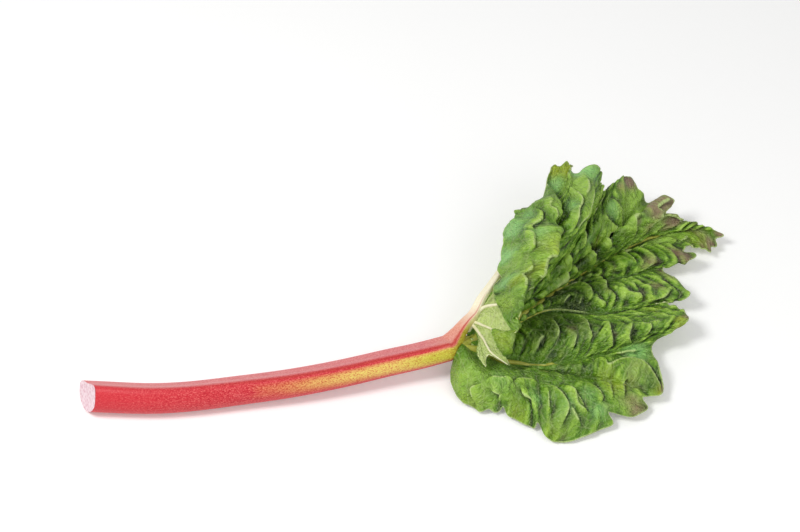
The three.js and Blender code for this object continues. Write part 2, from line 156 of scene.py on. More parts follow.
# %% Routes of the leaf
NECK_HEIGHT = 24.0  # every route starts at the stalk's tip, this high above the table
ROUTES = [
    ("front edge", 0.3, [[-3, -11, 30], [-6, -15, 26], [-8, -15, 17], [-9, -17, 9]]),
    ("front base", 0.3, [[1, -16, 30], [-1, -28, 25], [-5, -34, 14], [-7, -36, 5]]),
    ("base lobe", 0.3, [[7, -18, 26], [12, -38, 26], [12, -47, 15], [11, -54, 3]]),
    ("skirt 1", 0.3, [[13, -19, 22], [23, -40, 24], [28, -49, 15], [28, -57, 3]]),
    ("skirt 2", 0.3, [[16, -18, 21], [33, -40, 24], [43, -53, 16], [48, -68, 3]]),
    ("skirt 3", 0.35, [[20, -17, 20], [43, -34, 21], [61, -57, 17], [72, -86, 2]]),
    ("skirt 4", 0.5, [[22, -17, 20], [49, -31, 20], [82, -56, 19], [110, -73, 4]]),
    ("skirt 5", 0.7, [[24, -16, 19], [55, -26, 18], [97, -44, 19], [140, -59, 6]]),
    ("third rib", 1.0, [[24, -15, 18], [59, -22, 15], [102, -30, 13], [158, -39, 9]]),
    ("side hollow", 1.0, [[25, -14, 18], [62, -21, 17], [108, -22, 19], [156, -20, 14]]),
    ("second rib", 1.0, [[25, -12, 17], [65, -17, 14], [112, -5, 14], [153, 5, 15]]),
    ("second lobe", 1.0, [[28, -4, 19], [68, 3, 21], [117, 10, 26], [184, 27, 22]]),
    ("first rib", 1.0, [[31, 19, 16], [71, 47, 11], [118, 41, 13], [169, 51, 15]]),
    ("first lobe", 1.0, [[33, 22, 16], [82, 57, 15], [131, 58, 22], [188, 57, 18]]),
    ("side vein", 1.0, [[34, 24, 15], [88, 75, 9], [134, 85, 10], [171, 95, 13]]),
    ("side lobe", 0.9, [[35, 26, 14], [91, 79, 9], [143, 98, 17], [200, 102, 16]]),
    ("tip hollow", 0.8, [[35, 28, 13], [93, 83, 7], [147, 118, 9], [194, 122, 12]]),
    ("tip hook", 0.7, [[35, 28, 13], [93, 84, 7], [154, 125, 7], [199, 132, 9], [210, 126, 9], [215, 117, 9]]),
    ("midrib", 0.7, [[12, 11, 18], [35, 29, 13], [93, 86, 6], [146, 127, 5], [190, 145, 9], [225, 136, 13]]),
    ("far hollow", 0.9, [[35, 29, 14], [95, 87, 10], [154, 132, 13], [202, 149, 16]]),
    ("far lobe 1", 0.9, [[35, 30, 15], [98, 88, 15], [155, 133, 20], [194, 149, 20]]),
    ("far lobe 2", 0.9, [[36, 31, 18], [101, 89, 23], [148, 132, 32], [182, 161, 30]]),
    ("far valley 1", 1.0, [[35, 32, 20], [103, 97, 22], [138, 132, 24], [162, 163, 28]]),
    ("far ridge 1", 0.9, [[34, 33, 23], [96, 92, 34], [122, 127, 44], [147, 179, 42]]),
    ("far valley 2", 0.9, [[32, 35, 26], [86, 89, 33], [108, 125, 40], [123, 158, 46]]),
    ("far ridge 2", 0.8, [[28, 32, 32], [75, 71, 48], [103, 110, 63], [117, 165, 62]]),
    ("far ridge 3", 0.8, [[24, 31, 36], [67, 72, 50], [93, 106, 66], [95, 160, 62]]),
    ("back lobe", 0.5, [[7, 15, 33], [18, 29, 39], [44, 73, 44], [73, 120, 54], [98, 184, 58]]),
    ("back rib", 0.4, [[7, 15, 33], [17, 29, 39], [41, 73, 44], [65, 121, 54], [79, 172, 58]]),
    ("fold lobe 1", 0.3, [[7, 15, 33], [19, 28, 40], [54, 72, 60], [81, 101, 76], [73, 113, 76], [65, 120, 66]]),
    ("fold lobe 2", 0.25, [[7, 15, 33], [19, 27, 40], [55, 64, 60], [81, 74, 76], [66, 88, 75], [47, 116, 60]]),
    ("fold lobe 3", 0.25, [[7, 15, 33], [19, 26, 40], [51, 52, 60], [74, 52, 74], [54, 68, 72], [35, 97, 54]]),
    ("fold lobe 4", 0.25, [[7, 13, 33], [19, 25, 40], [47, 41, 57], [65, 35, 70], [48, 45, 67], [31, 63, 50]]),
    ("fold rib 1", 0.25, [[7, 14, 32], [17, 23, 39], [30, 21, 46], [44, 25, 57], [53, 22, 66], [38, 26, 61],
        [25, 38, 46]]),
    ("fold hollow", 0.15, [[7, 13, 32], [17, 16, 37], [29, 5, 46], [39, -2, 56], [44, -2, 60], [37, 7, 55],
        [28, 17, 46]]),
    ("fold rib 2", 0.1, [[7, 14, 31], [17, 7, 35], [26, -3, 41], [37, -10, 52], [44, -12, 57], [41, -18, 55],
        [35, -14, 51]]),
    ("fold tip", 0.1, [[7, 13, 31], [16, 4, 34], [25, -5, 38], [34, -16, 43], [38, -23, 50], [31, -19, 53],
        [22, -10, 49]]),
    ("fold corner", 0.1, [[7, 13, 31], [15, -1, 34], [22, -14, 36], [31, -26, 38], [37, -28, 43], [32, -29, 47],
        [25, -24, 45]]),
    ("fold rib 3", 0.1, [[7, 13, 30], [15, -3, 33], [21, -20, 35], [31, -28, 32], [36, -29, 28]]),
    ("far notch", 0.2, [[7, 13, 30], [13, -3, 32], [17, -16, 34], [18, -21, 34], [19, -23, 33]]),
    ("far base", 0.2, [[7, 13, 30], [12, -3, 32], [13, -17, 34], [15, -28, 33], [17, -33, 31]]),
    ("far edge", 0.2, [[6, 12, 30], [11, 0, 32], [12, -8, 33], [10, -18, 34], [11, -24, 33]]),
]
route_number = {name: number for number, (name, *_) in enumerate(ROUTES)}
crumple_of_route = np.array([crumple for _, crumple, _ in ROUTES])
print(len(ROUTES), "routes")

# %% [markdown]
# ## The blade between the routes
# With the routes in place, any spot on the blade has an address: which route it is on (2.5 is half way between the
# second and the third), and what share of the way it lies from the stalk to the margin. Points at the same share on
# neighbouring routes are joined by the same kind of spline, so the blade is smooth in both directions.

# %% Blade addresses
START_RADIUS = 7.0  # the blade starts this far from the stalk's tip, inside the neck
SHARE_STEPS = 600
# Where the margin is cut back: the place, the share of the blade's length that is missing there, and half the width
# of the cut, as a share of the space between two routes.
MARGIN_CUTS = [
    (2.5, 0.05, 0.2), (3.15, 0.09, 0.14), (4.5, 0.1, 0.14), (6.45, 0.1, 0.16), (7.5, 0.07, 0.16),
    (19.5, 0.03, 0.16), (20.5, 0.04, 0.16), (26.9, 0.06, 0.3), (27.5, 0.04, 0.2), (28.5, 0.05, 0.22),
    (29.5, 0.02, 0.16), (30.45, 0.04, 0.18), (31.4, 0.03, 0.2), (32.55, 0.06, 0.14),
]
# The margin of the old lobes is ragged between the first two of these places and the last two.
RAGGED_FROM, RAGGED_TO = (13.4, 14.2), (24.0, 26.0)
RAGGED_DEPTH = 0.012  # as a share of the blade's length
SCALLOPS = 2.3  # small scallops between two routes, on the folded lobes only
SCALLOPS_FROM = (26.0, 28.0)
SCALLOP_DEPTH = 0.014  # as a share of the blade's length

lines, lengths = [], []
for _, _, points in ROUTES:
    line, length = even_spline(from_tip([[0, 0, NECK_HEIGHT], *points]), SHARE_STEPS + 1)
    at = np.linspace(START_RADIUS / length, 1, SHARE_STEPS + 1) * SHARE_STEPS
    lines.append(np.stack([np.interp(at, np.arange(SHARE_STEPS + 1), line[:, axis]) for axis in range(3)], axis=1))
    lengths.append(length)
lines = np.array(lines)
padded_lines = np.concatenate([[2 * lines[0] - lines[1]], lines, [2 * lines[-1] - lines[-2]]])
print("routes are", round(min(lengths)), "to", round(max(lengths)), "mm long")


def margin_share(place):
    """How much of its full length the blade has at this place between the routes."""
    share = np.ones_like(place)
    for at, depth, width in MARGIN_CUTS:
        share -= depth * np.exp(-(((place - at) / width) ** 2))
    # Sines whose lengths have no common measure never repeat together.
    ragged = np.sin(6.7 * place + np.sin(2.9 * place)) * np.sin(2.3 * place + 1) + 0.4 * np.sin(12.9 * place)
    share -= RAGGED_DEPTH * (1 + ragged) * rise(*RAGGED_FROM, place) * (1 - rise(*RAGGED_TO, place))
    scallop = np.abs(np.sin(np.pi * SCALLOPS * place + 1.5 * np.sin(1.9 * place)))
    return share - SCALLOP_DEPTH * (1 - scallop) ** 1.5 * rise(*SCALLOPS_FROM, place)


def blade_points(place, share):
    """A grid of points of the blade's middle layer: one row for each place, one column for each share."""
    kept = share[None, :] * (1 - (1 - margin_share(place))[:, None] * share[None, :] ** 3)
    step = kept * SHARE_STEPS
    low = np.clip(step.astype(int), 0, SHARE_STEPS - 1)
    part = (step - low)[..., None]
    k = np.clip(place.astype(int), 0, len(ROUTES) - 2)
    near = [padded_lines[(k + n)[:, None], low] * (1 - part) + padded_lines[(k + n)[:, None], low + 1] * part
            for n in range(4)]
    return blend_four(near, (place - k)[:, None, None])


# %% [markdown]
# ## A flat map of the leaf
# Veins and puckers grow on the blade, so their pattern must not stretch where the blade folds. We unroll it: the
# distance from the stalk's tip along the blade stays a distance on the map, and the turn round the tip is measured
# along a middle ring of the leaf. Ribs are then straight lines on the map, as on a leaf that was pressed flat.

# %% The flat map
MAP_SHARE = 0.6  # the ring on which the turn is measured
STEPS_PER_ROUTE = 40
WIDEST_TURN = 1.5  # what is further round than this belongs to another side of the leaf, in radians


def flat_map(place, share, points):
    """For a grid of points: how far out each one is on the blade, in millimetres, and its turn round the tip."""
    out = np.linalg.norm(np.diff(points, axis=1), axis=2)
    radius = START_RADIUS + np.concatenate([np.zeros((len(place), 1)), np.cumsum(out, axis=1)], axis=1)
    ring = np.argmin(abs(share - MAP_SHARE))
    step = np.linalg.norm(np.diff(points[:, ring], axis=0), axis=1)
    turn = np.concatenate([[0], np.cumsum(step / (0.5 * (radius[1:, ring] + radius[:-1, ring])))])
    return radius, turn


all_places = np.linspace(0, len(ROUTES) - 1, STEPS_PER_ROUTE * (len(ROUTES) - 1) + 1)
all_shares = np.linspace(0, 1, 61)
whole_blade = blade_points(all_places, all_shares)
whole_radius, whole_turn = flat_map(all_places, all_shares, whole_blade)
# How far along the margin each place is, in millimetres on the flat map.
whole_margin = np.concatenate([[0], np.cumsum(np.diff(whole_turn) * whole_radius[1:, -1])])
print("the leaf turns", round(math.degrees(whole_turn[-1])), "degrees round the stalk's tip")

# %% [markdown]
# ## The big pleats
# A rhubarb leaf is never flat. Where the blade has more room than its veins it stands up in pleats: one side of a
# pleat swells gently, and the other drops off steeply under the crest, or even turns in below it. No formula knows
# where they are on this leaf, so the big ones are listed one by one. A pleat is a line of addresses along its crest,
# with the steep side on the right hand of a walker who looks down on the leaf.

# %% Pleats listed one by one
# Under the name of the spot: how high each crest stands in millimetres, and its line as places and shares.
PLEATS = {
    "flap": [
        (3.5, [(33.6, 0.69), (33.3, 0.68), (32.9, 0.69), (32.5, 0.76), (32.3, 0.72), (32.0, 0.73), (31.7, 0.76)]),
        (3.5, [(31.6, 0.77), (31.3, 0.74), (31.0, 0.74), (30.8, 0.76), (30.8, 0.8), (30.8, 0.84)]),
        (3.0, [(30.7, 0.76), (30.5, 0.82), (30.2, 0.8), (29.8, 0.83), (29.7, 0.9)]),
        (2.0, [(30.0, 0.69), (29.3, 0.78), (29.4, 0.86), (29.2, 0.88), (28.9, 0.92)]),
        (3.0, [(26.1, 0.65), (26.2, 0.68), (29.1, 0.81), (29.1, 0.86), (29.0, 0.91)]),
        (3.0, [(33.2, 0.65), (32.9, 0.65), (32.5, 0.66), (32.3, 0.64), (32.0, 0.65), (31.7, 0.65), (31.4, 0.64),
            (31.1, 0.61), (30.7, 0.61), (30.3, 0.64), (30.3, 0.67), (30.2, 0.67)]),
    ],
    "ridge": [
        (4.0, [(25.8, 0.6), (25.6, 0.62), (25.6, 0.64), (25.7, 0.68), (25.8, 0.73), (25.7, 0.77), (25.8, 0.8),
            (26.1, 0.85), (26.4, 0.85)]),
        (4.0, [(25.2, 0.54), (25.2, 0.58), (25.2, 0.63), (25.2, 0.68), (25.1, 0.71), (25.1, 0.77), (25.1, 0.84),
            (25.2, 0.89), (25.2, 0.93)]),
        (2.5, [(25.7, 0.78), (25.4, 0.84), (25.4, 0.89), (25.5, 0.96)]),
        (4.0, [(23.1, 0.53), (23.1, 0.56), (23.1, 0.6), (23.4, 0.67), (24.7, 0.7), (25.0, 0.72), (25.0, 0.75)]),
        (4.0, [(21.1, 0.33), (21.0, 0.39), (21.0, 0.43), (21.1, 0.46), (22.5, 0.51), (23.0, 0.51), (23.4, 0.55),
            (23.7, 0.59)]),
        (2.5, [(20.9, 0.45), (20.5, 0.49), (21.1, 0.51), (22.5, 0.53)]),
    ],
    "valley wall": [
        (4.0, [(19.9, 0.64), (20.4, 0.67), (21.1, 0.68), (22.4, 0.74), (22.3, 0.78), (22.6, 0.76), (23.0, 0.74),
            (23.1, 0.73)]),
        (3.5, [(19.7, 0.57), (20.2, 0.59), (21.0, 0.6), (22.4, 0.63), (23.0, 0.62)]),
    ],
    "far lobe": [
        (3.5, [(21.1, 0.75), (22.4, 0.83), (22.6, 0.84), (23.0, 0.83), (23.2, 0.86)]),
        (3.5, [(19.2, 0.76), (20.4, 0.81), (21.0, 0.81), (21.1, 0.84), (20.9, 0.87)]),
        (4.0, [(19.1, 0.82), (20.1, 0.85), (20.6, 0.96), (20.9, 0.91), (21.0, 0.94), (21.0, 0.98)]),
        (3.0, [(19.8, 0.88), (20.4, 0.96), (20.3, 0.98), (20.2, 0.99), (19.9, 0.99)]),
    ],
    "tip": [
        (2.5, [(16.5, 0.92), (16.9, 0.89), (17.2, 0.91), (16.8, 0.94)]),
    ],
    "near tip": [
        (3.0, [(15.8, 0.96), (16.9, 0.86), (17.5, 0.81), (17.5, 0.78), (17.2, 0.76), (15.8, 0.83)]),
        (2.5, [(14.7, 0.8), (15.2, 0.76), (16.2, 0.76)]),
        (3.0, [(14.0, 0.88), (14.5, 0.86), (14.7, 0.86), (14.9, 0.88)]),
    ],
    "side": [
        (3.5, [(12.2, 0.72), (12.5, 0.71), (12.8, 0.69), (13.1, 0.66), (14.1, 0.72), (14.7, 0.63)]),
        (3.5, [(12.2, 0.61), (12.5, 0.6), (12.8, 0.6), (13.4, 0.61), (14.7, 0.57)]),
        (3.0, [(12.3, 0.7), (12.5, 0.67), (12.6, 0.64), (13.0, 0.61)]),
        (2.5, [(12.2, 0.51), (12.7, 0.49), (13.0, 0.51), (12.8, 0.54)]),
        (2.5, [(12.2, 0.58), (12.4, 0.57), (12.9, 0.56)]),
        (3.0, [(12.4, 0.84), (12.8, 0.8), (12.9, 0.75), (13.3, 0.7)]),
        (3.0, [(12.3, 0.87), (12.6, 0.87), (12.8, 0.9), (13.3, 0.95)]),
    ],
    "first": [
        (3.0, [(10.8, 0.37), (11.2, 0.4), (11.5, 0.42), (11.7, 0.43)]),
        (3.5, [(10.6, 0.55), (10.9, 0.54), (11.1, 0.53), (11.5, 0.55), (11.7, 0.54)]),
        (3.5, [(10.2, 0.74), (10.7, 0.65), (11.1, 0.62), (11.3, 0.63), (11.2, 0.59)]),
        (3.5, [(10.3, 0.83), (10.7, 0.73), (11.1, 0.72), (11.2, 0.7)]),
        (3.0, [(10.5, 0.85), (10.9, 0.81), (11.0, 0.78), (11.2, 0.74)]),
        (2.5, [(10.5, 0.3), (10.8, 0.3), (11.1, 0.31), (11.2, 0.36)]),
        (2.5, [(10.5, 0.49), (10.9, 0.47), (11.2, 0.48)]),
    ],
    "first lobe": [
        (3.0, [(11.0, 0.87), (11.0, 0.85), (11.0, 0.82), (11.0, 0.79)]),
    ],
    "third": [
        (4.0, [(8.2, 0.97), (8.7, 0.95), (9.1, 0.92), (9.3, 0.87), (9.3, 0.82), (9.0, 0.75), (9.0, 0.72), (9.5, 0.71),
            (9.3, 0.67), (9.2, 0.63)]),
        (3.0, [(10.0, 0.75), (9.85, 0.77), (9.8, 0.8), (9.85, 0.85), (9.85, 0.91), (9.9, 0.96)]),
    ],
    "skirt right": [
        (2.6, [(5.9, 0.87), (6.1, 0.79), (6.3, 0.72), (6.4, 0.66), (6.4, 0.6)]),
        (2.6, [(6.5, 0.88), (6.8, 0.78), (7.0, 0.73), (7.2, 0.67), (7.3, 0.63)]),
        (3.0, [(6.8, 0.85), (7.2, 0.78), (7.7, 0.73), (7.9, 0.67)]),
        (3.0, [(7.1, 0.87), (7.7, 0.81), (8.3, 0.8), (8.5, 0.84)]),
    ],
    "skirt": [
        (3.0, [(5.0, 0.95), (5.3, 0.85), (5.7, 0.76), (5.9, 0.68), (6.0, 0.61), (5.9, 0.55), (5.7, 0.53)]),
        (2.0, [(5.0, 0.8), (5.2, 0.7), (5.4, 0.65), (5.8, 0.57)]),
        (2.4, [(6.0, 0.89), (6.0, 0.85), (6.0, 0.77), (6.4, 0.69), (6.5, 0.64), (6.5, 0.6)]),
        (2.2, [(5.6, 0.93), (5.7, 0.82), (5.8, 0.74)]),
    ],
    "skirt lap": [
        (3.5, [(2.6, 0.67), (2.8, 0.72), (3.1, 0.78), (2.9, 0.88)]),
        (3.5, [(4.5, 0.58), (4.4, 0.68), (4.6, 0.73), (4.4, 0.84)]),
    ],
    "skirt top": [
        (3.5, [(4.2, 0.57), (4.2, 0.53), (3.6, 0.56), (2.6, 0.6), (2.4, 0.65)]),
        (3.0, [(5.7, 0.53), (5.4, 0.49), (4.7, 0.5), (4.2, 0.58)]),
    ],
    "base": [
        (2.5, [(2.2, 0.64), (1.7, 0.73), (1.8, 0.84), (1.9, 0.89)]),
    ],
}
PLEAT_SHARE = 0.75  # how much of their height the pleats reach
PLEAT_WIDTH = 3.0  # the gentle side is this many times as wide as the crest is high
PLEAT_LEAN = 0.5  # how far the crest leans over its steep side, as a share of its height
GENTLE_POWER = 1.7  # how round the gentle side is
STEEP_REACH = 0.6  # the steep side's foot lies this far off, as a share of the width
DIP, LEAN_BACK = 0.45, 0.4  # how far the foot dips below the blade and leans back, as shares of height and lean
LEAN_REACH = 0.4  # how far over the gentle side the lean is felt, as a share of the width
LIP = 1.2  # half the width of a crest's sharp edge, in millimetres
END_FADE = (-0.05, 0.3)  # a crest grows over this share of its line, but not where it starts at the margin
END_REACH = 4.0  # and it dies out this far past its end, in millimetres
AT_MARGIN = 0.96
# Painted shade under a crest: where it starts and how far it reaches.
PAINTED_SHADE_START, PAINTED_SHADE_REACH = 0.3, 3.5  # the shade under a crest, in millimetres
FAR_OFF = 6.0  # the distance from a line that is noted where there is none, in millimetres


def on_map(place, share, turned=0.0):
    """Where addresses lie on the flat map, in millimetres, after the map is turned back by an angle."""
    place, share = np.asarray(place, float), np.asarray(share, float)
    row = np.interp(place, all_places, np.arange(len(all_places)))
    column = share * (len(all_shares) - 1)
    r, c = np.clip(row.astype(int), 0, len(all_places) - 2), np.clip(column.astype(int), 0, len(all_shares) - 2)
    fr, fc = row - r, column - c
    radius = (whole_radius[r, c] * (1 - fr) + whole_radius[r + 1, c] * fr) * (1 - fc)
    radius += (whole_radius[r, c + 1] * (1 - fr) + whole_radius[r + 1, c + 1] * fr) * fc
    angle = np.interp(place, all_places, whole_turn) - turned
    return np.stack([radius * np.sin(angle), radius * np.cos(angle), 0 * radius], axis=-1)


def pleat_relief(radius, turn):
    """What the pleats add at each spot: height, lean outwards and round, and marks for the rim, along which a
    highlight is painted, for the shade that is painted under the crest, and for nearness.
    """
    total = {key: np.zeros_like(radius) for key in ("height", "out", "round", "under", "near")}
    total["rim"] = np.full_like(radius, FAR_OFF)
    for height, crest in (pleat for group in PLEATS.values() for pleat in group):
        place, share = np.array(crest).T
        middle = np.interp(place.mean(), all_places, whole_turn)
        line, length = even_spline(on_map(place, share, middle), max(8, int(6 * len(crest))))
        width = PLEAT_WIDTH * height
        angle = (turn - middle)[:, None] + 0 * radius
        x, y = radius * np.sin(angle), radius * np.cos(angle)
        low, high = line.min(axis=0) - width - END_REACH, line.max(axis=0) + width + END_REACH
        here = (abs(angle) < WIDEST_TURN) & (x > low[0]) & (x < high[0]) & (y > low[1]) & (y < high[1])
        if not here.any():
            continue
        spot = np.stack([x[here], y[here]], axis=1)
        way = unit(np.gradient(line[:, :2], axis=0))
        gap = spot[:, None] - line[None, :, :2]
        nearest = np.argmin((gap**2).sum(axis=2), axis=1)
        gap, way = gap[np.arange(len(spot)), nearest], way[nearest]
        side = way[:, 0] * gap[:, 1] - way[:, 1] * gap[:, 0]  # above 0 on the steep side
        past = (way * gap).sum(axis=1)
        past = np.where(nearest == 0, np.minimum(past, 0), np.where(nearest == len(line) - 1, np.maximum(past, 0), 0))
        part = nearest / (len(line) - 1)
        first = 1.0 if share[0] > AT_MARGIN else rise(*END_FADE, part)
        last = 1.0 if share[-1] > AT_MARGIN else rise(*END_FADE, 1 - part)
        full = first * last * np.exp(-((past / END_REACH) ** 2))
        gentle = 1 - np.clip(-side / width, 0, 1) ** GENTLE_POWER
        edge = np.exp(-((side / LIP) ** 2))
        back = np.clip(1 - side / (STEEP_REACH * width), 0, 1)
        lift = np.where(side < 0, gentle, ((1 + DIP) * edge - DIP) * back)
        steep_lean = ((1 + LEAN_BACK) * edge - LEAN_BACK) * back
        lean = PLEAT_LEAN * height * np.where(side < 0, np.exp(side / (LEAN_REACH * width)), steep_lean)
        bearing = angle[here]
        total["height"][here] += height * full * lift
        total["out"][here] += full * lean * (-way[:, 1] * np.sin(bearing) + way[:, 0] * np.cos(bearing))
        total["round"][here] += full * lean * (-way[:, 1] * np.cos(bearing) - way[:, 0] * np.sin(bearing))
        # How far each spot is from the crest, for the pale highlight that is painted along it.
        total["rim"][here] = np.minimum(total["rim"][here], abs(side) + FAR_OFF * (1 - full))
        # Painted shade: just past the crest, on the steep side, the skin is painted darker, fading over a few
        # millimetres.
        hollow = full * np.where(side > PAINTED_SHADE_START, np.exp(-side / PAINTED_SHADE_REACH), 0)
        for key, value in (("under", hollow), ("near", full * np.exp(-((side / width) ** 2)))):
            total[key][here] = np.maximum(total[key][here], value)
    return total


# %% [markdown]
# ## Veins and small folds
# A few strong ribs fan out from the stalk, and side veins leave each rib at a slant, 9 to 16 mm apart. Between them
# the blade makes smaller folds of the same kind as the big pleats, then sharp creases and wrinkles, and soft puckers
# in the meshes of the veins. At the margin the blade has more length than it needs and ruffles. All these are worked
# out from the flat map, as heights in millimetres, by which the blade is pushed out along its normal.

# %% The leaf's relief
# From each rib to the next: how far apart the side veins are, how far they run outwards for each millimetre away
# from the rib, how high the folds stand and how far they lean over. All but the slant are in millimetres.
ZONES = [
    ("front edge", 14.0, 0.30, 1.4, 0.4), ("third rib", 11.0, 0.30, 2.0, 0.6), ("second rib", 10.0, 0.15, 2.4, 0.7),
    ("first rib", 9.0, 0.20, 2.5, 0.7), ("side vein", 10.0, 0.20, 2.4, 0.7), ("midrib", 15.0, 1.10, 2.8, 0.8),
    ("far valley 1", 15.0, 1.10, 2.6, 0.8), ("back rib", 16.0, 0.55, 1.4, 0.4), ("fold rib 1", 12.0, 0.50, 0.8, 0.2),
    ("fold rib 2", 10.0, 0.50, 0.4, 0.1), ("fold rib 3", 10.0, 0.50, 0.4, 0.1),
]
WIDEST_ZONE = 0.5  # a rib's folds reach no further round than this, in radians
VEIN_DRIFT = [(0.6, 34, 3.1), (0.22, 14, 7.7), (0.1, 5, 1.7)]  # how far the veins wander: amount, size and seed
CREST_AT = 0.66  # share of a fold's width at which its crest stands
# Sharp creases that run the same way as the folds, finer ones between them, and wrinkles that run anywhere. Each has
# its height, and its steepness: the higher, the narrower its ridges are.
CREASE_HEIGHT, CREASE_STEEPNESS = 1.2, 2.6
FINE_HEIGHT, FINE_STEEPNESS = 0.42, 2.4
WRINKLE_HEIGHT, WRINKLE_STEEPNESS, WRINKLE_SIZE = 1.5, 2.2, 15.0
CREASES_PER_FOLD, FINE_PER_FOLD = 1.3, 3.2
CREASE_BREAKS, FINE_BREAKS = 0.28, 0.8  # how often they break off on their way out, for each fold's width
# Cushions in the meshes of the veins and small puckers: their height, size and fullness.
MESH_HEIGHT, MESH_SIZE, MESH_FULLNESS = 0.35, 13.0, 1.9
PUCKER_HEIGHT, PUCKER_SIZE, PUCKER_FULLNESS = 0.2, 6.5, 2.2
RUFFLE_LENGTH = 27.0
RUFFLE_HEIGHT = 1.1
RUFFLE_REACH = 18.0  # how far in from the margin a ruffle dies out
GROWS_OVER = (14.0, 62.0)  # near the stalk the blade is smooth, and all folds are full from the second radius on
ROOM_NEEDED = (3.0, 12.0)  # and so they are between two ribs that stand as far apart as this
FOLDS_OFF_RIB, CREASES_OFF_RIB, PUCKERS_OFF_RIB = 6.0, 5.0, 4.0  # they are full this far from a rib
CALMED_FOLDS, CALMED_CREASES, CALMED_WRINKLES = 0.75, 0.7, 0.5  # how much of them is lost beside a pleat
# How much of them is left where the blade is not crumpled at all.
LEAST_FINE, LEAST_PUCKERS, LEAST_RUFFLE = 0.4, 0.35, 0.5
# The ribs that show on top: width near the stalk and at the margin, and the shares between which they fade.
SHOWN_RIBS = [
    ("midrib", 2.2, 1.2, 0.80, 0.98), ("first rib", 1.5, 0.8, 0.60, 0.95), ("second rib", 4.2, 1.0, 0.42, 0.72)]
RIB_TAPER = 60.0  # how soon such a rib gets thin
RIB_RISE = 1.4
RIB_CLEARANCE = 11.0  # the folds die out this far from it
# Where the blade folds back on itself near the stalk, its two layers stand apart by twice this. Then the place and
# the share where that is most, and how far it reaches.
FOLD_OPENING = 3.0
OPENING_PLACE, OPENING_SHARE, OPENING_REACH = 34.7, 0.68, (0.9, 0.16)

zone_starts = np.array([route_number[name] for name, *_ in ZONES])
rib_turns = np.interp(zone_starts, all_places, whole_turn)


def smooth_noise(x, y, size, seed):
    """Smooth random numbers from about -1 to 1 that change over about `size` millimetres."""
    flat = zip((x / size).ravel(), (y / size).ravel())
    return np.array([noise.noise(Vector((a, b, seed))) for a, b in flat]).reshape(x.shape)


def creases(x, y, size, seed, steepness):
    """Sharp ridges with a height of 1, where the smooth noise passes through zero."""
    return 1 - steepness * np.abs(smooth_noise(x, y, size, seed))


def cells(x, y, size, seed):
    """How far each spot is from the edge of its cell, from 0 on the edge to about 1 in the middle."""
    flat = zip((x / size).ravel(), (y / size).ravel())
    near = [noise.voronoi(Vector((a, b, seed)))[0] for a, b in flat]
    return np.array([d[1] - d[0] for d in near]).reshape(x.shape)


def cushion(cell, fullness):
    """A soft swelling in each cell, from -0.5 on its edge to 0.5 in the middle."""
    return np.clip(fullness * cell, 0, 1) ** 0.6 - 0.5


def at_least(least, crumple):
    """A strength that is full where the blade is most crumpled and `least` where it is smooth."""
    return least + (1 - least) * crumple


def folds_between_ribs(place, radius, turn):
    """For each spot: how far it is from its rib, the room between the ribs there, how many folds lie before it, and
    the spacing, height and lean of the folds."""
    zone = np.clip(np.searchsorted(zone_starts, place, side="right") - 1, 0, len(ZONES) - 1)
    before, after = turn - rib_turns[zone], rib_turns[np.minimum(zone + 1, len(ZONES) - 1)] - turn
    before = np.where(zone == 0, 9, before)  # the first and the last zone have a rib on one side only
    after = np.where(zone == len(ZONES) - 1, 9, after)
    away = np.minimum(before, after)[:, None]
    room = radius * np.minimum(0.5 * (before + after), WIDEST_ZONE)[:, None]
    along, aside = radius * np.cos(away), radius * np.abs(np.sin(away))
    spacing, slant, height, lean = (np.array([z[n] for z in ZONES])[zone][:, None] for n in (1, 2, 3, 4))
    x, y = radius * np.sin(turn[:, None]), radius * np.cos(turn[:, None])
    drift = sum(amount * smooth_noise(x, y, size, seed) for amount, size, seed in VEIN_DRIFT)
    return aside, room, (along - slant * aside) / spacing + drift, spacing, height, lean


def shown_ribs(radius, angle):
    """How far each spot is from the edge of the nearest rib that shows on top, below 0 on the rib."""
    rib = np.full_like(radius, RIB_CLEARANCE)
    for name, wide, thin, start, end in SHOWN_RIBS:
        gap = radius * np.abs(angle - np.interp(route_number[name], all_places, whole_turn))
        gap += RIB_CLEARANCE * rise(start, end, radius / radius[:, -1:])
        rib = np.minimum(rib, gap - 0.5 * (thin + (wide - thin) * np.exp(-radius / RIB_TAPER)))
    return rib


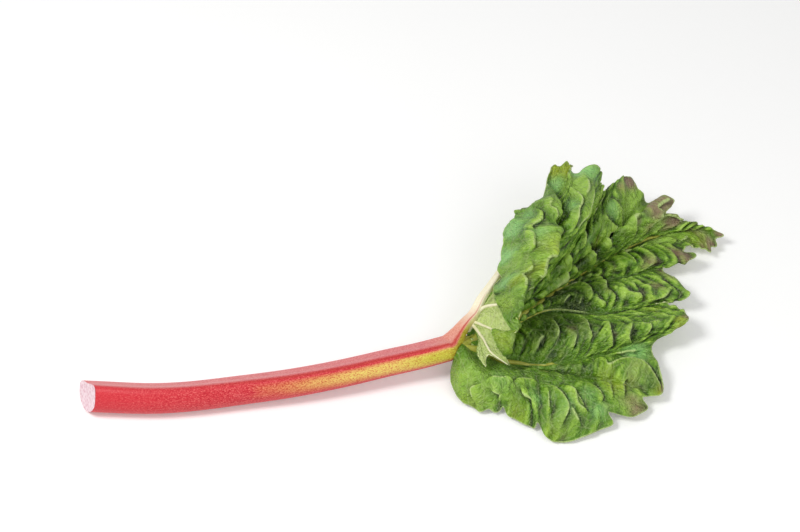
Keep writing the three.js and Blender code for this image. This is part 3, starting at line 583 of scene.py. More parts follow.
def leaf_relief(place, radius, turn):
    """All that is needed to shape and colour the blade: a dictionary of grids, in millimetres."""
    angle = np.broadcast_to(turn[:, None], radius.shape)
    x, y = radius * np.sin(angle), radius * np.cos(angle)
    aside, room, phase, spacing, height, lean = folds_between_ribs(place, radius, turn)
    part = phase - np.floor(phase)
    crest = np.where(part < CREST_AT, part / CREST_AT, (1 - part) / (1 - CREST_AT))
    crumple = np.interp(place, np.arange(len(ROUTES)), crumple_of_route)[:, None]
    pleat = pleat_relief(radius, turn)
    grown = rise(*GROWS_OVER, radius) * rise(*ROOM_NEEDED, room)
    for_creases, for_puckers = grown * rise(0, CREASES_OFF_RIB, aside), grown * rise(0, PUCKERS_OFF_RIB, aside)
    strength = np.clip(aside / np.maximum(room, 1), 0, 1) ** 0.5 * rise(0, FOLDS_OFF_RIB, aside)
    strength *= grown * np.clip(0.95 + 0.4 * smooth_noise(x, y, 30, 5.5), 0.3, 1.3)
    strength *= 1 - CALMED_FOLDS * pleat["near"]
    crease = creases(CREASES_PER_FOLD * phase, CREASE_BREAKS * aside / spacing, 1.0, 6.6, CREASE_STEEPNESS)
    crease *= crumple * for_creases * (1 - CALMED_CREASES * pleat["near"])
    fine = creases(FINE_PER_FOLD * phase, FINE_BREAKS * aside / spacing, 1.0, 3.9, FINE_STEEPNESS)
    fine *= at_least(LEAST_FINE, crumple) * for_puckers
    wrinkle = creases(x, y, WRINKLE_SIZE, 9.4, WRINKLE_STEEPNESS)
    wrinkle *= crumple * for_creases * (1 - CALMED_WRINKLES * pleat["near"])
    mesh = cells(x, y, MESH_SIZE, 4.6)
    swell = cushion(mesh, MESH_FULLNESS) * for_puckers
    pucker = cushion(cells(x, y, PUCKER_SIZE, 1.3), PUCKER_FULLNESS)
    pucker *= at_least(LEAST_PUCKERS, crumple) * for_puckers
    folds = (height * strength * (crest - 0.4) + PLEAT_SHARE * pleat["height"] + CREASE_HEIGHT * crease
             + FINE_HEIGHT * fine + WRINKLE_HEIGHT * wrinkle + MESH_HEIGHT * swell + PUCKER_HEIGHT * pucker)
    edge = radius[:, -1:] - radius
    rim = np.interp(place, all_places, whole_margin)[:, None]
    wave = np.sin(2 * np.pi * rim / RUFFLE_LENGTH + 3 * smooth_noise(rim + 0 * radius, 0 * radius, 40, 2.2))
    ruffle = RUFFLE_HEIGHT * at_least(LEAST_RUFFLE, crumple) * rise(RUFFLE_REACH, 0, edge) * wave
    opened = np.exp(-(((place - OPENING_PLACE) / OPENING_REACH[0]) ** 2))[:, None]
    opened = opened * np.exp(-(((radius / radius[:, -1:] - OPENING_SHARE) / OPENING_REACH[1]) ** 2))
    rib = shown_ribs(radius, angle)
    clear = rise(0.2, RIB_CLEARANCE, rib)
    return {
        "height": clear * folds + ruffle + FOLD_OPENING * opened + RIB_RISE * rise(0.6, -0.4, rib),
        "out": clear * (lean * strength * (crest - 0.3) + PLEAT_SHARE * pleat["out"]),
        "round": clear * PLEAT_SHARE * pleat["round"],
        # rim and ridge give the distance to the crests, along which pale highlights are painted, and under marks where
        # shade is painted below a pleat's crest.
        "rim": pleat["rim"], "under": pleat["under"], "rib": rib, "mesh": mesh, "edge": edge, "map_x": x, "map_y": y,
        "ridge": np.abs(part - CREST_AT) * spacing + FAR_OFF * (1 - np.clip(strength, 0, 1)),
        "vein": np.minimum(part, 1 - part) * spacing,
    }


# %% [markdown]
# ## Where the leaf has changed colour, and where light and shade are painted
# Wax makes the young folds look blue-white, and a painted sheen is laid over that. Thin lobes let the light through
# and look yellow-green, the old lobes at the tip have gone purple-brown, and the crowded middle is the darkest green,
# deepened by painted shade between its folds. The sunlit spots are painted light, on lobes that would otherwise lie
# darker. Each of these is a handful of soft round spots on the flat map, kept with the mesh as a number from 0 to 1
# for the material to read.

# %% Spots of colour
# Each spot is a place, a share, its size in millimetres and its strength.
TINTS = {
    # Partly the wax's own blue-white cast, partly a painted sheen.
    "bloom_and_sheen": [
        (30.8, 0.94, 16, 1.0), (31.8, 0.96, 13, 1.0), (32.9, 0.88, 12, 0.7), (30.1, 0.89, 10, 0.6),
        (30.6, 0.75, 8, 0.8), (25.6, 0.99, 12, 1.0), (27.4, 0.86, 12, 0.9), (26.2, 0.75, 10, 0.6),
        (22.8, 0.63, 6, 0.4), (23.5, 0.62, 8, 0.4), (3.6, 0.55, 12, 0.4), (6.1, 0.54, 14, 0.2), (4.8, 0.67, 10, 0.4),
        (5.8, 0.74, 9, 0.35), (5.3, 0.85, 12, 0.3), (6.6, 0.75, 10, 0.4), (6.3, 0.89, 10, 0.5), (9.8, 0.91, 12, 0.8),
        (23.3, 0.98, 12, 0.3), (22.8, 0.79, 8, 0.6),
    ],
    "gold": [
        (30.7, 0.62, 14, 0.8), (32.0, 0.66, 12, 0.6), (32.8, 0.74, 10, 0.6), (31.4, 0.9, 9, 0.3),
        (36.4, 0.88, 14, 0.6), (33.8, 0.85, 12, 0.5), (35.4, 0.84, 10, 0.4), (27.9, 0.98, 14, 1.0),
        (26.9, 0.98, 14, 1.0), (1.7, 0.94, 16, 0.45), (3.7, 0.96, 16, 0.45), (3.7, 0.8, 10, 0.3),
        (5.0, 0.92, 16, 0.35), (5.7, 0.71, 10, 0.2), (7.6, 0.79, 12, 0.6), (8.3, 0.71, 10, 0.5), (11.0, 0.97, 8, 1.0),
        (10.7, 1.0, 8, 1.0), (7.9, 0.99, 6, 1.0), (16.9, 0.95, 14, 0.5), (12.6, 0.85, 8, 0.3), (14.7, 0.7, 10, 0.3),
        (11.7, 0.92, 12, 0.4), (22.4, 0.68, 8, 0.4), (22.9, 0.9, 8, 0.4),
    ],
    # Painted light: lobes painted paler where the lamps leave them darker.
    "sunlit": [
        (22.2, 0.9, 18, 0.8), (20.2, 0.92, 18, 0.8), (24.2, 0.9, 14, 0.9), (21.1, 0.8, 16, 0.7),
        (17.5, 0.85, 14, 0.6), (33.6, 0.85, 18, 0.8), (29.0, 0.84, 14, 0.8), (25.8, 0.9, 14, 0.8),
        (19.1, 0.8, 12, 0.6), (4.0, 0.6, 20, 0.4), (2.0, 0.7, 20, 0.6), (1.0, 0.75, 18, 0.7), (26.6, 0.86, 14, 0.7),
        (28.0, 0.75, 12, 0.6), (16.4, 0.86, 14, 0.6), (22.8, 0.72, 10, 0.5), (8.6, 0.86, 12, 0.5),
        (36.4, 0.88, 16, 0.3), (33.8, 0.85, 16, 0.4), (34.9, 0.85, 12, 0.3), (1.5, 0.6, 20, 0.7),
        (7.1, 0.91, 12, 0.85), (17.6, 0.82, 18, 1.0), (26.0, 0.85, 14, 0.9), (22.4, 0.93, 14, 0.9),
        (24.9, 0.8, 10, 0.6), (30.7, 0.7, 18, 0.6), (32.0, 0.82, 18, 0.6),
    ],
    "blush": [
        (22.8, 0.97, 8, 1.0), (23.1, 0.93, 6, 0.6), (20.9, 0.91, 10, 1.0), (20.1, 0.86, 6, 0.8),
        (21.1, 0.96, 10, 1.0), (20.9, 0.98, 9, 0.9), (19.8, 0.96, 11, 1.0), (19.1, 0.92, 8, 0.7),
        (20.8, 0.82, 4, 0.5), (21.5, 0.87, 6, 0.5), (18.3, 0.91, 8, 0.7), (17.8, 0.93, 10, 0.5), (17.9, 0.99, 6, 1.0),
        (17.2, 0.99, 7, 1.0), (16.8, 0.97, 6, 0.6), (15.3, 0.95, 9, 0.9), (14.9, 0.98, 8, 0.9), (14.8, 0.85, 8, 0.7),
        (14.6, 0.84, 6, 0.5), (13.8, 1.0, 8, 0.5), (13.6, 1.0, 8, 0.6), (13.3, 0.88, 9, 0.6), (13.0, 0.81, 7, 0.3),
        (10.8, 0.66, 6, 0.3), (11.2, 0.46, 7, 0.35), (9.1, 0.81, 9, 0.2), (9.1, 0.88, 9, 0.3), (8.9, 0.92, 8, 0.25),
        (7.8, 0.86, 10, 0.3), (7.2, 0.91, 10, 0.65), (7.0, 0.96, 9, 0.8), (8.4, 0.84, 8, 0.4), (11.1, 0.99, 5, 1.0),
        (8.1, 1.0, 4, 1.0), (18.8, 1.0, 8, 0.4), (13.0, 0.67, 6, 0.3), (14.5, 0.68, 5, 0.3),
    ],
    # Partly the crowded middle's own deep green, partly painted shade between its folds.
    "dark_green_and_shade": [
        (15.4, 0.52, 14, 1.0), (13.5, 0.47, 15, 1.0), (13.9, 0.42, 10, 0.8), (12.4, 0.55, 14, 1.0),
        (13.2, 0.65, 10, 0.6), (11.6, 0.44, 10, 0.7), (11.3, 0.37, 14, 0.7), (15.0, 0.59, 8, 0.6),
        (19.9, 0.62, 7, 0.7), (20.4, 0.65, 7, 0.6), (6.0, 0.36, 12, 0.5), (8.3, 0.48, 12, 0.6), (8.5, 0.58, 10, 0.5),
        (13.7, 1.0, 7, 0.5), (10.3, 0.87, 7, 0.5), (25.8, 0.71, 5, 0.4), (23.8, 0.77, 5, 0.5), (22.1, 0.64, 6, 0.8),
        (21.4, 0.56, 8, 0.8), (11.3, 0.5, 18, 0.75), (10.4, 0.45, 12, 0.5), (8.3, 0.94, 11, 0.6),
        (5.5, 0.83, 9, 0.35), (11.1, 0.7, 12, 0.35), (8.6, 0.62, 12, 0.4), (7.9, 0.5, 10, 0.3), (6.2, 0.48, 8, 0.4),
        (9.6, 0.5, 12, 0.35),
    ],
}


def tint(spots, radius, turn):
    """How strongly each point of the blade is tinted by a list of spots."""
    total = np.zeros_like(radius)
    for place, share, size, strength in spots:
        middle = np.interp(place, all_places, whole_turn)
        centre_x, centre_y, _ = on_map(place, share, middle)
        angle = (turn - middle)[:, None] + 0 * radius
        gap = (radius * np.sin(angle) - centre_x) ** 2 + (radius * np.cos(angle) - centre_y) ** 2
        total = np.maximum(total, strength * np.where(abs(angle) < WIDEST_TURN, np.exp(-gap / size**2), 0))
    return total


# %% [markdown]
# ## Making the blade
# A flat grid is added, and each of its points is carried to its address on the leaf and then pushed out by the
# relief there. A Solidify modifier gives the sheet its thickness, with the underside in a material of its own. The
# leaf is drawn in four parts that meet in its strong ribs, so that each one's grid is fine enough for the puckers.

# %% Helpers for meshes
def select_only(*things):
    """Selects these and nothing else, the first one active, so that the next operator acts on them alone."""
    bpy.ops.object.select_all(action="DESELECT")
    for thing in things:
        thing.select_set(True)
    if things:
        bpy.context.view_layer.objects.active = things[0]


def new_grid(name, steps_x, steps_y):
    """A flat unit grid with its own name. Returns it, and the steps along x and y at which each point lies."""
    select_only()
    bpy.ops.mesh.primitive_grid_add(x_subdivisions=steps_x, y_subdivisions=steps_y, size=1)
    sheet = bpy.context.object
    sheet.name = sheet.data.name = name
    flat = np.empty(3 * len(sheet.data.vertices))
    sheet.data.vertices.foreach_get("co", flat)
    flat = flat.reshape(-1, 3)[:, :2] + 0.5
    assert len(flat) == (steps_x + 1) * (steps_y + 1), len(flat)
    return sheet, np.rint(flat[:, 0] * steps_x).astype(int), np.rint(flat[:, 1] * steps_y).astype(int)


def put_points(sheet, points):
    """Gives the mesh its points, in millimetres."""
    sheet.data.vertices.foreach_set("co", (points * MM).astype(np.float32).ravel())
    sheet.data.update()


def note(sheet, name, values):
    """Keeps a number for each point of the mesh, for its material to read."""
    sheet.data.attributes.new(name, "FLOAT", "POINT").data.foreach_set("value", values.astype(np.float32))


def grid_normals(points):
    """The upward normal at each point of a grid whose rows go round the leaf and whose columns go out."""
    outwards = np.gradient(points, axis=1)
    around = np.gradient(points, axis=0)
    normal = unit(np.cross(outwards, around))
    for _ in range(3):
        wide = np.pad(normal, ((1, 1), (1, 1), (0, 0)), mode="edge")
        normal = unit(wide[:-2, 1:-1] + wide[2:, 1:-1] + wide[1:-1, :-2] + wide[1:-1, 2:])
    return normal


# %% The four parts of the blade
PART_COLUMNS = 300
PART_ROWS = 155
OVERLAP = 4  # columns of the neighbouring part that are looked at, but not kept
BLADE_THICKNESS = 0.9
TABLE_GAP = 0.5  # the leaf stays this far above the table, in millimetres
SETTLES_OVER = 2.0  # over its last few millimetres down the leaf sinks ever more slowly, and never into the table
LEVEL_OVER, SHARP_OVER = 80, 8  # rounds of softening, for the level that things stand above and for what is sharp
SPREAD_RING = 0.85  # places are spread by how long the blade is at this share of the way out
STEP_LENGTH = 0.25  # each step between routes counts for this many millimetres more
CROWDED_ENDS = 0.45  # how much closer together the places are at a part's two ends
PARTS = [
    ("leaf_skirt", "front edge", "second rib"),
    ("leaf_near_half", "second rib", "midrib"),
    ("leaf_far_half", "midrib", "back rib"),
    ("leaf_fold", "back rib", "far edge"),
]


def spread_places(first, last, count):
    """Places from one route to another, closer together where the margin is longer, and near the part's two ends."""
    inside = (all_places >= first) & (all_places <= last)
    ring = whole_blade[inside][:, int(SPREAD_RING * len(all_shares))]
    run = run_along(ring) + STEP_LENGTH * np.arange(len(ring))
    even = np.linspace(0, 1, count)
    closer = even - CROWDED_ENDS * np.sin(2 * np.pi * even) / (2 * np.pi)
    return np.interp(closer * run[-1], run, all_places[inside])


def soften(grid, times):
    """The grid with each value drawn towards its neighbours' middle, `times` over."""
    for _ in range(times):
        wide = np.pad(grid, 1, mode="edge")
        grid = (wide[:-2, 1:-1] + wide[2:, 1:-1] + wide[1:-1, :-2] + wide[1:-1, 2:] + 2 * grid) / 6
    return grid


def settle(points):
    """Keeps the blade just above the table: what would reach into it lies flat on it."""
    low = TABLE_GAP + BLADE_THICKNESS
    over = (points[..., 2] - low) / SETTLES_OVER
    points[..., 2] = low + SETTLES_OVER * np.where(over < 1, np.exp(over - 1), over)
    return points


def blade_part(name, first, last):
    """One part of the leaf's blade, from one route to another. A few more columns on each side tell how the leaf goes
    on there, so that two parts meet without a gap."""
    place = spread_places(route_number[first], route_number[last], PART_COLUMNS + 1)
    share = np.linspace(0, 1, PART_ROWS + 1)
    before = place[0] - (place[1] - place[0]) * np.arange(OVERLAP, 0, -1)
    after = place[-1] + (place[-1] - place[-2]) * np.arange(1, OVERLAP + 1)
    wide = blade_points(np.clip(np.concatenate([before, place, after]), 0, len(ROUTES) - 1), share)
    middle = wide[OVERLAP:-OVERLAP]
    radius, _ = flat_map(place, share, middle)
    turn = np.interp(place, all_places, whole_turn)
    relief = leaf_relief(place, radius, turn)
    relief.update({key: tint(spots, radius, turn) for key, spots in TINTS.items()})
    # How far each point stands above the blade around it, broadly and finely. The skin paints what stands up paler, as
    # light, and what lies deep darker, as shade.
    relief["stands"] = relief["height"] - soften(relief["height"], LEVEL_OVER)
    relief["sharp"] = relief["height"] - soften(relief["height"], SHARP_OVER)
    shaped = middle.copy()
    for key, ways in (("height", grid_normals(wide)), ("out", unit(np.gradient(wide, axis=1))),
                      ("round", unit(np.gradient(wide, axis=0)))):
        shaped += ways[OVERLAP:-OVERLAP] * relief[key][..., None]
    shaped = settle(shaped)
    sheet, out, around = new_grid(name, PART_ROWS, PART_COLUMNS)
    put_points(sheet, shaped[around, out])
    for key, values in relief.items():
        note(sheet, key, values[around, out])
    return {"sheet": sheet, "places": place, "shares": share, "points": shaped}


parts = [blade_part(*part) for part in PARTS]
blade = [part["sheet"] for part in parts]
print("blade points:", [len(sheet.data.vertices) for sheet in blade])

# %% Thickness
def thicken(sheet, thickness):
    """Gives the sheet its thickness. The underside takes the second material, and the rim the first."""
    select_only(sheet)
    skin = sheet.modifiers.new("Thickness", "SOLIDIFY")
    skin.thickness = thickness * MM
    skin.offset = 0
    skin.material_offset = 1
    for _ in range(2):
        sheet.data.materials.append(None)
    bpy.ops.object.modifier_apply(modifier=skin.name)
    bpy.ops.object.shade_smooth()


for sheet in blade:
    thicken(sheet, BLADE_THICKNESS)
    print(sheet.name, len(sheet.data.polygons), "faces")


# %% [markdown]
# ## The stalk
# A rhubarb stalk has a D-shaped section: a flat, slightly hollow upper face with two firm edges, and a round back. It
# has rolled over on the table, so the flat face leans away. The knife cut at its foot is slanted. At its tip the
# stalk turns a corner and becomes the leaf's back rib, and the other ribs branch off there.
# A long tube like this is easiest as a grid that is wrapped round a line: one direction of the grid goes round the
# section and the other along the line. The first rows of the grid fold in over the knife cut, so that the cut face
# is part of the same skin.

# %% The stalk's line and section
STALK_LINE = [[-296, -48, 12.6], [-247, -50, 12.2], [-218, -48, 12], [-177, -42, 12.5], [-137, -36, 14],
              [-98, -28, 16], [-59, -18, 18.3], [-33, -12, 20.3], [-12, -6, 22]]
BASE_SIZE = np.array([28.0, 24.0])  # across the flat face and from it to the back, at the cut
TIP_SIZE = np.array([23.0, 19.0])
BASE_ROLL, TIP_ROLL = 38.0, 24.0  # how far the flat face leans away, in degrees
FLAT_SHARE = 0.36  # how much of the depth lies on the flat face's side of the widest place
FLAT_POWER, BACK_POWER = 3.4, 2.1  # a power of 2 is an ellipse, and a higher one is squarer
GROOVE_DEPTH, GROOVE_WIDTH = 1.2, 0.24  # the hollow in the flat face, in millimetres and as a share of the width
CUT_SLANT = math.tan(math.radians(33))
CUT_BLEND = 6.0  # the slant is gone this far along the stalk


def signed_power(value, power):
    """The power of the value's size, with the value's own sign."""
    return np.sign(value) * np.abs(value) ** power


def section(angle, width, depth):
    """Across and up places of the stalk's section at an angle: 0 is one edge, a quarter turn the flat face."""
    flat = np.sin(angle) > 0
    power = np.where(flat, 2 / FLAT_POWER, 2 / BACK_POWER)
    reach = np.where(flat, FLAT_SHARE, 1 - FLAT_SHARE) * depth
    across = width / 2 * signed_power(np.cos(angle), power)
    up = reach * signed_power(np.sin(angle), power)
    groove = np.where(flat, GROOVE_DEPTH * depth / BASE_SIZE[1], 0) * np.exp(-((across / (GROOVE_WIDTH * width)) ** 2))
    return across, up - groove * up / reach + (0.5 - FLAT_SHARE) * depth


def swept(line, way, sizes, roll, sides):
    """A grid of points, one row for each point of the line and one column for each side. Also says where each of them
    lies in its section, across and up, as shares of the section's size."""
    width, depth = sizes.T
    angle = np.linspace(0, 2 * np.pi, sides + 1)
    side = unit(np.cross(way, [0, 0, 1]))
    up = np.cross(side, way)
    roll = np.radians(roll)[:, None]
    across_way = side * np.cos(roll) + up * np.sin(roll)
    face_way = up * np.cos(roll) - side * np.sin(roll)
    across, face = section(angle[None, :], width[:, None], depth[:, None])
    points = line[:, None] + across[..., None] * across_way[:, None] + face[..., None] * face_way[:, None]
    return points, across / width[:, None], face / depth[:, None]


def tube(name, points, along, cut_share, level, side):
    """A tube of quads from a grid of points whose rows go once round it. Its seam is joined and its two ends are
    filled, with a sharp edge round each. It keeps how far along the stalk each point is and where in the section."""
    rows, columns = points.shape[:2]
    sheet, row, column = new_grid(name, rows - 1, columns - 1)
    put_points(sheet, points[row, column])
    for key, values in (("along", along[row]), ("cut_share", cut_share[row]), ("level", level[row, column]),
                        ("side", side[row, column])):
        note(sheet, key, values)
    select_only(sheet)
    bpy.ops.object.mode_set(mode="EDIT")
    bpy.ops.mesh.select_all(action="SELECT")
    bpy.ops.mesh.remove_doubles(threshold=1e-6)
    bpy.ops.mesh.select_all(action="DESELECT")
    bpy.ops.mesh.select_non_manifold()
    bpy.ops.mesh.edge_face_add()
    bpy.ops.mesh.mark_sharp()
    bpy.ops.mesh.select_all(action="SELECT")
    bpy.ops.mesh.normals_make_consistent(inside=False)
    bpy.ops.object.mode_set(mode="OBJECT")
    bpy.ops.object.shade_smooth()
    return sheet


# %% The stalk
STALK_STEPS = 150
STALK_SIDES = 144
# The cut face is slightly hollow: the size of each of its rings, as a share of the section, and how far it stands out
# over the edge, in millimetres.
CUT_RINGS = [(0.02, -1.3), (0.3, -1.2), (0.55, -0.9), (0.75, -0.6), (0.88, -0.25), (0.95, 0.0), (0.985, 0.15)]


def with_cut(rows):
    """The rows of the stalk, with the first one repeated for each ring of the cut face."""
    return np.concatenate([np.repeat(rows[:1], len(CUT_RINGS), axis=0), rows])


stalk_line, stalk_length = even_spline(from_tip(STALK_LINE), STALK_STEPS + 1)
stalk_way = unit(np.gradient(stalk_line, axis=0))
stalk_share = np.linspace(0, 1, STALK_STEPS + 1)
body, across, face = swept(stalk_line, stalk_way, BASE_SIZE + (TIP_SIZE - BASE_SIZE) * stalk_share[:, None],
                           BASE_ROLL + (TIP_ROLL - BASE_ROLL) * stalk_share, STALK_SIDES)
slant = np.exp(-stalk_share * stalk_length / CUT_BLEND)[:, None] * across * BASE_SIZE[0] * CUT_SLANT
body += slant[..., None] * stalk_way[:, None]
foot = body[0].mean(axis=0)
cut = [foot + (body[0] - foot) * size - stalk_way[0] * height for size, height in CUT_RINGS]
cut_share = np.concatenate([[size for size, _ in CUT_RINGS], np.ones(STALK_STEPS + 1)])
stalk = tube("stalk", np.concatenate([np.array(cut), body]), with_cut(stalk_share * stalk_length), cut_share,
             with_cut(face), with_cut(across))
print("the stalk is", round(stalk_length), "mm long with", len(stalk.data.polygons), "faces")

# %% [markdown]
# ## The fork and the ribs
# Past its tip the stalk forks. The upper branch goes on as the back rib, which stands proud of the folded half of the
# leaf. It starts with the stalk's own section and grows thin. The other ribs are round cords that are sunk in the
# blade: thick at the stalk, thin at the margin. They are drawn as curves with a bevel, whose thickness is set point
# by point, and are then made meshes.

# %% The back rib
# Points past the stalk's tip, and the size of the section there, as a share of the stalk's.
NECK = [([-7.5, -0.5, 24.4], 0.8), ([-2.3, 6.8, 28.5], 0.54), ([3.3, 13.4, 32.0], 0.46), ([9.1, 19.6, 35.0], 0.4)]
BACK_RIB_SHARES = [0.17, 0.26, 0.36, 0.46, 0.56, 0.66]  # then it follows the blade at these shares
BACK_RIB_START, BACK_RIB_END = 7.82, 3.2  # how thick it is at the first of them and at the last
BACK_RIB_SUNK = 0.35  # how deep it lies under the blade, as a share of its thickness
LEAD = 12.0  # the line is guided by a point this far back on the stalk
NECK_STEPS = 120


def on_blade(name, shares):
    """Places on the finished blade's middle layer along a route, and the blade's normals there."""
    place = route_number[name]
    part = next(part for part in parts if part["places"][-1] >= place - 1e-6)
    column = int(np.argmin(abs(part["places"] - place)))
    lines = part["points"][column], grid_normals(part["points"])[column]
    return [np.stack([np.interp(shares, part["shares"], line[:, axis]) for axis in range(3)], axis=1) for line in lines]


rib_points, rib_normals = on_blade("back rib", BACK_RIB_SHARES)
rib_width = np.linspace(BACK_RIB_START, BACK_RIB_END, len(BACK_RIB_SHARES))
stations = np.concatenate([stalk_line[-1:], from_tip([at for at, _ in NECK]),
                           rib_points - rib_normals * BACK_RIB_SUNK * rib_width[:, None]])
sizes = np.array([TIP_SIZE, *(size * TIP_SIZE for _, size in NECK), *((width, width) for width in rib_width)])
guide = np.array([stations[0] - LEAD * stalk_way[-1], *stations])
neck_place = np.linspace(1, len(guide) - 1, NECK_STEPS + 1)
neck_line = spline(guide, neck_place)
neck_way = unit(np.gradient(neck_line, axis=0))
neck_way[0] = stalk_way[-1]
neck_sizes = np.stack([np.interp(neck_place - 1, range(len(sizes)), sizes[:, n]) for n in range(2)], axis=1)
# It has as many sides as the stalk, so that the two share their last ring.
neck_points, across, face = swept(neck_line, neck_way, neck_sizes, np.full(NECK_STEPS + 1, TIP_ROLL), STALK_SIDES)
neck_run = run_along(neck_line)
neck = tube("back_rib", neck_points, stalk_length + neck_run, np.ones(NECK_STEPS + 1), face, across)
print("the back rib is", round(neck_run[-1]), "mm long")

# %% The other ribs
FORK = [-8, -4, 23]  # where every cord starts
FORK_SWELL = 1.25  # and how many times as thick it is there as at the start of the blade
# The route it follows, its radius at the stalk and at the margin, how deep it is sunk, as a share of its radius, and
# places before it meets the blade.
RIB_CORDS = [
    ("midrib", 4.6, 0.7, 0.95, [[-1.7, -3.4, 23], [5.8, 3.7, 20]]), ("first rib", 2.2, 0.6, 0.95, [[0, -2, 22]]),
    ("second rib", 3.2, 0.6, 0.70, [[0, -5, 23]]), ("third rib", 2.6, 0.6, 0.62, [[0, -6, 23]]),
    ("side vein", 2.0, 0.5, 0.95, [[0, -2, 22]]), ("far valley 1", 2.0, 0.5, 0.95, [[0, 2, 25]]),
    ("fold rib 1", 2.5, 0.8, 0.62, [[-2, 5, 27.5]]), ("fold rib 2", 2.3, 0.8, 0.62, [[-2, 5, 27.5]]),
    ("fold rib 3", 2.0, 0.6, 0.62, [[-2, 5, 27.5]]),
]
# These are seen from below, where ribs are cream. They end at this share of the way out.
UNDERSIDE_RIBS = {"fold rib 1": 0.60, "fold rib 2": 0.42, "fold rib 3": 0.97}
RIB_START, RIB_END = 0.06, 0.97
RIB_TAPERING = 0.55  # below 1, a rib gets thin soon after the stalk
RIB_STEPS = 60


def rib_cord(route, thick, thin, deep, first):
    """One rib as a cord under the blade, in a mesh of its own."""
    shares = np.linspace(RIB_START, UNDERSIDE_RIBS.get(route, RIB_END), RIB_STEPS)
    points, normals = on_blade(route, shares)
    radius = thick + (thin - thick) * (shares / shares[-1]) ** RIB_TAPERING
    sunk = points - normals * deep * radius[:, None]
    lead = from_tip([FORK, *first])
    places = np.concatenate([lead, sunk])
    radii = np.concatenate([np.linspace(thick * FORK_SWELL, radius[0], len(lead)), radius])
    select_only()
    bpy.ops.curve.primitive_nurbs_path_add()
    cord = bpy.context.object
    cord.name = cord.data.name = "rib_" + route.replace(" ", "_")
    cord.data.splines.clear()
    strand = cord.data.splines.new("POLY")
    strand.points.add(len(places) - 1)
    strand.points.foreach_set("co", np.concatenate([places * MM, np.ones((len(places), 1))], axis=1).ravel())
    strand.points.foreach_set("radius", radii)
    cord.data.bevel_depth = MM
    cord.data.bevel_resolution = 4
    cord.data.use_fill_caps = True
    bpy.ops.object.convert(target="MESH")
    bpy.ops.object.shade_smooth()
    note(cord, "cream", np.full(len(cord.data.vertices), 1.0 if route in UNDERSIDE_RIBS else 0.0))
    return cord


cords = [rib_cord(*cord) for cord in RIB_CORDS]
select_only(*cords)
bpy.ops.object.join()
ribs = cords[0]
ribs.name = ribs.data.name = "leaf_ribs"
print(len(RIB_CORDS), "ribs,", len(ribs.data.polygons), "faces")

# %% [markdown]
# ## Colours and one helper for nodes
# Colours are written as they look on a screen, and Blender works with linear light, so one function turns one into
# the other. Another adds a node with its settings, joins sockets to it where it is given them, and gives back one of
# its output sockets, so that nodes can be chained like sums. A material here starts empty, without its usual nodes.

# %% Helpers for materials
def linear(colour):
    """An sRGB hex colour as Blender's linear colour."""
    parts = [int(colour[n : n + 2], 16) / 255 for n in (1, 3, 5)]
    return (*[c / 12.92 if c <= 0.04045 else ((c + 0.055) / 1.055) ** 2.4 for c in parts], 1.0)


def add_node(owner, kind, inputs=None, out=0, stops=None, **settings):
    """Adds a node. `inputs` gives values or sockets for its inputs, `stops` a ramp's places and colours."""
    node = owner.node_tree.nodes.new(kind)
    for key, value in settings.items():
        setattr(node, key, value)
    for key, value in (inputs or {}).items():
        if isinstance(value, bpy.types.NodeSocket):
            owner.node_tree.links.new(value, node.inputs[key])
        else:
            node.inputs[key].default_value = value
    if stops:
        ramp = node.color_ramp
        ramp.elements.remove(ramp.elements[1])
        ramp.elements[0].position, ramp.elements[0].color = stops[0][0], linear(stops[0][1])
        for position, colour in stops[1:]:
            ramp.elements.new(position).color = linear(colour)
    return node.outputs[out] if len(node.outputs) else node


def new_material(name):
    """A node material with no nodes yet."""
    material = bpy.data.materials.new(name)
    material.use_nodes = True
    material.node_tree.nodes.clear()
    return material


FACTOR, FIRST, SECOND, MIXED = 0, 6, 7, 2  # where a colour Mix node keeps its sockets

# %% [markdown]
# ## The leaf's skin
# The upper side of a rhubarb leaf is a thin, waxy skin over green tissue. The wax gives it a soft gloss. What stands
# up is painted paler, as light, and what lies deep is painted darker, as shade. The veins and the margin are pale
# yellow-green threads, and the crests of the folds and pleats get pale threads too, which are painted highlights. The
# oldest lobes turn purple-brown at the margin. So the colour is built in layers: a ramp from deep to high, then the
# spots of colour, then painted shade under each pleat's crest, then the pale threads. The underside gets the same
# layers in its own pale, matt colours.

# %% Leaf skin
LEAF_NOTES = ("map_x", "map_y", "stands", "sharp", "rim", "ridge", "under", "rib", "mesh", "vein", "edge")
LEAF_PATCHES = (("broad", 38.0), ("patch", 7.0), ("fine", 2.4))  # cloudy patterns and their size, in millimetres
LEAF_NETS = (("net", 3.4), ("wide_net", 10.0))  # nets of small veins and the size of their meshes
WANDER_SIZE, WANDER = 6.0, 5.0  # how far the small veins wander, over which distance, in millimetres
DEEP_AT, MIDDLE_AT, HIGH_AT = 0.08, 0.42, 0.80  # where each colour stands on the way from deep to high
GLOSS_CHANGE = 0.08
GRAIN = 2.4  # how deep the fine grain looks, in millimetres
# What makes the skin paler, and by how much: heights in millimetres, then patterns from 0 to 1. The heights,
# stands and sharp, paint light on what stands up and shade in what lies deep; the patterns are the leaf's own
# uneven tone.
TONES = (("stands", 0.16), ("sharp", 0.30), ("fine", 0.30), ("patch", 0.22), ("broad", 0.24))
# The pale threads: what they follow, where they start and end in its numbers, and their strength there. Those on
# net, wide_net, mesh, vein, rib and edge are the veins and the margin; those on rim, ridge and sharp are painted
# highlights along the crests.
THREADS = (("net", 0.0, 0.10, 0.07, 0.0), ("wide_net", 0.0, 0.04, 0.24, 0.0), ("mesh", 0.0, 0.07, 0.32, 0.0),
           ("vein", 0.2, 0.7, 0.34, 0.0), ("edge", 0.5, 1.2, 0.85, 0.0), ("rim", 0.3, 0.8, 0.9, 0.0),
           ("ridge", 0.2, 0.7, 0.42, 0.0), ("sharp", 0.6, 1.4, 0.0, 0.5), ("rib", 0.0, 0.5, 1.0, 0.0))


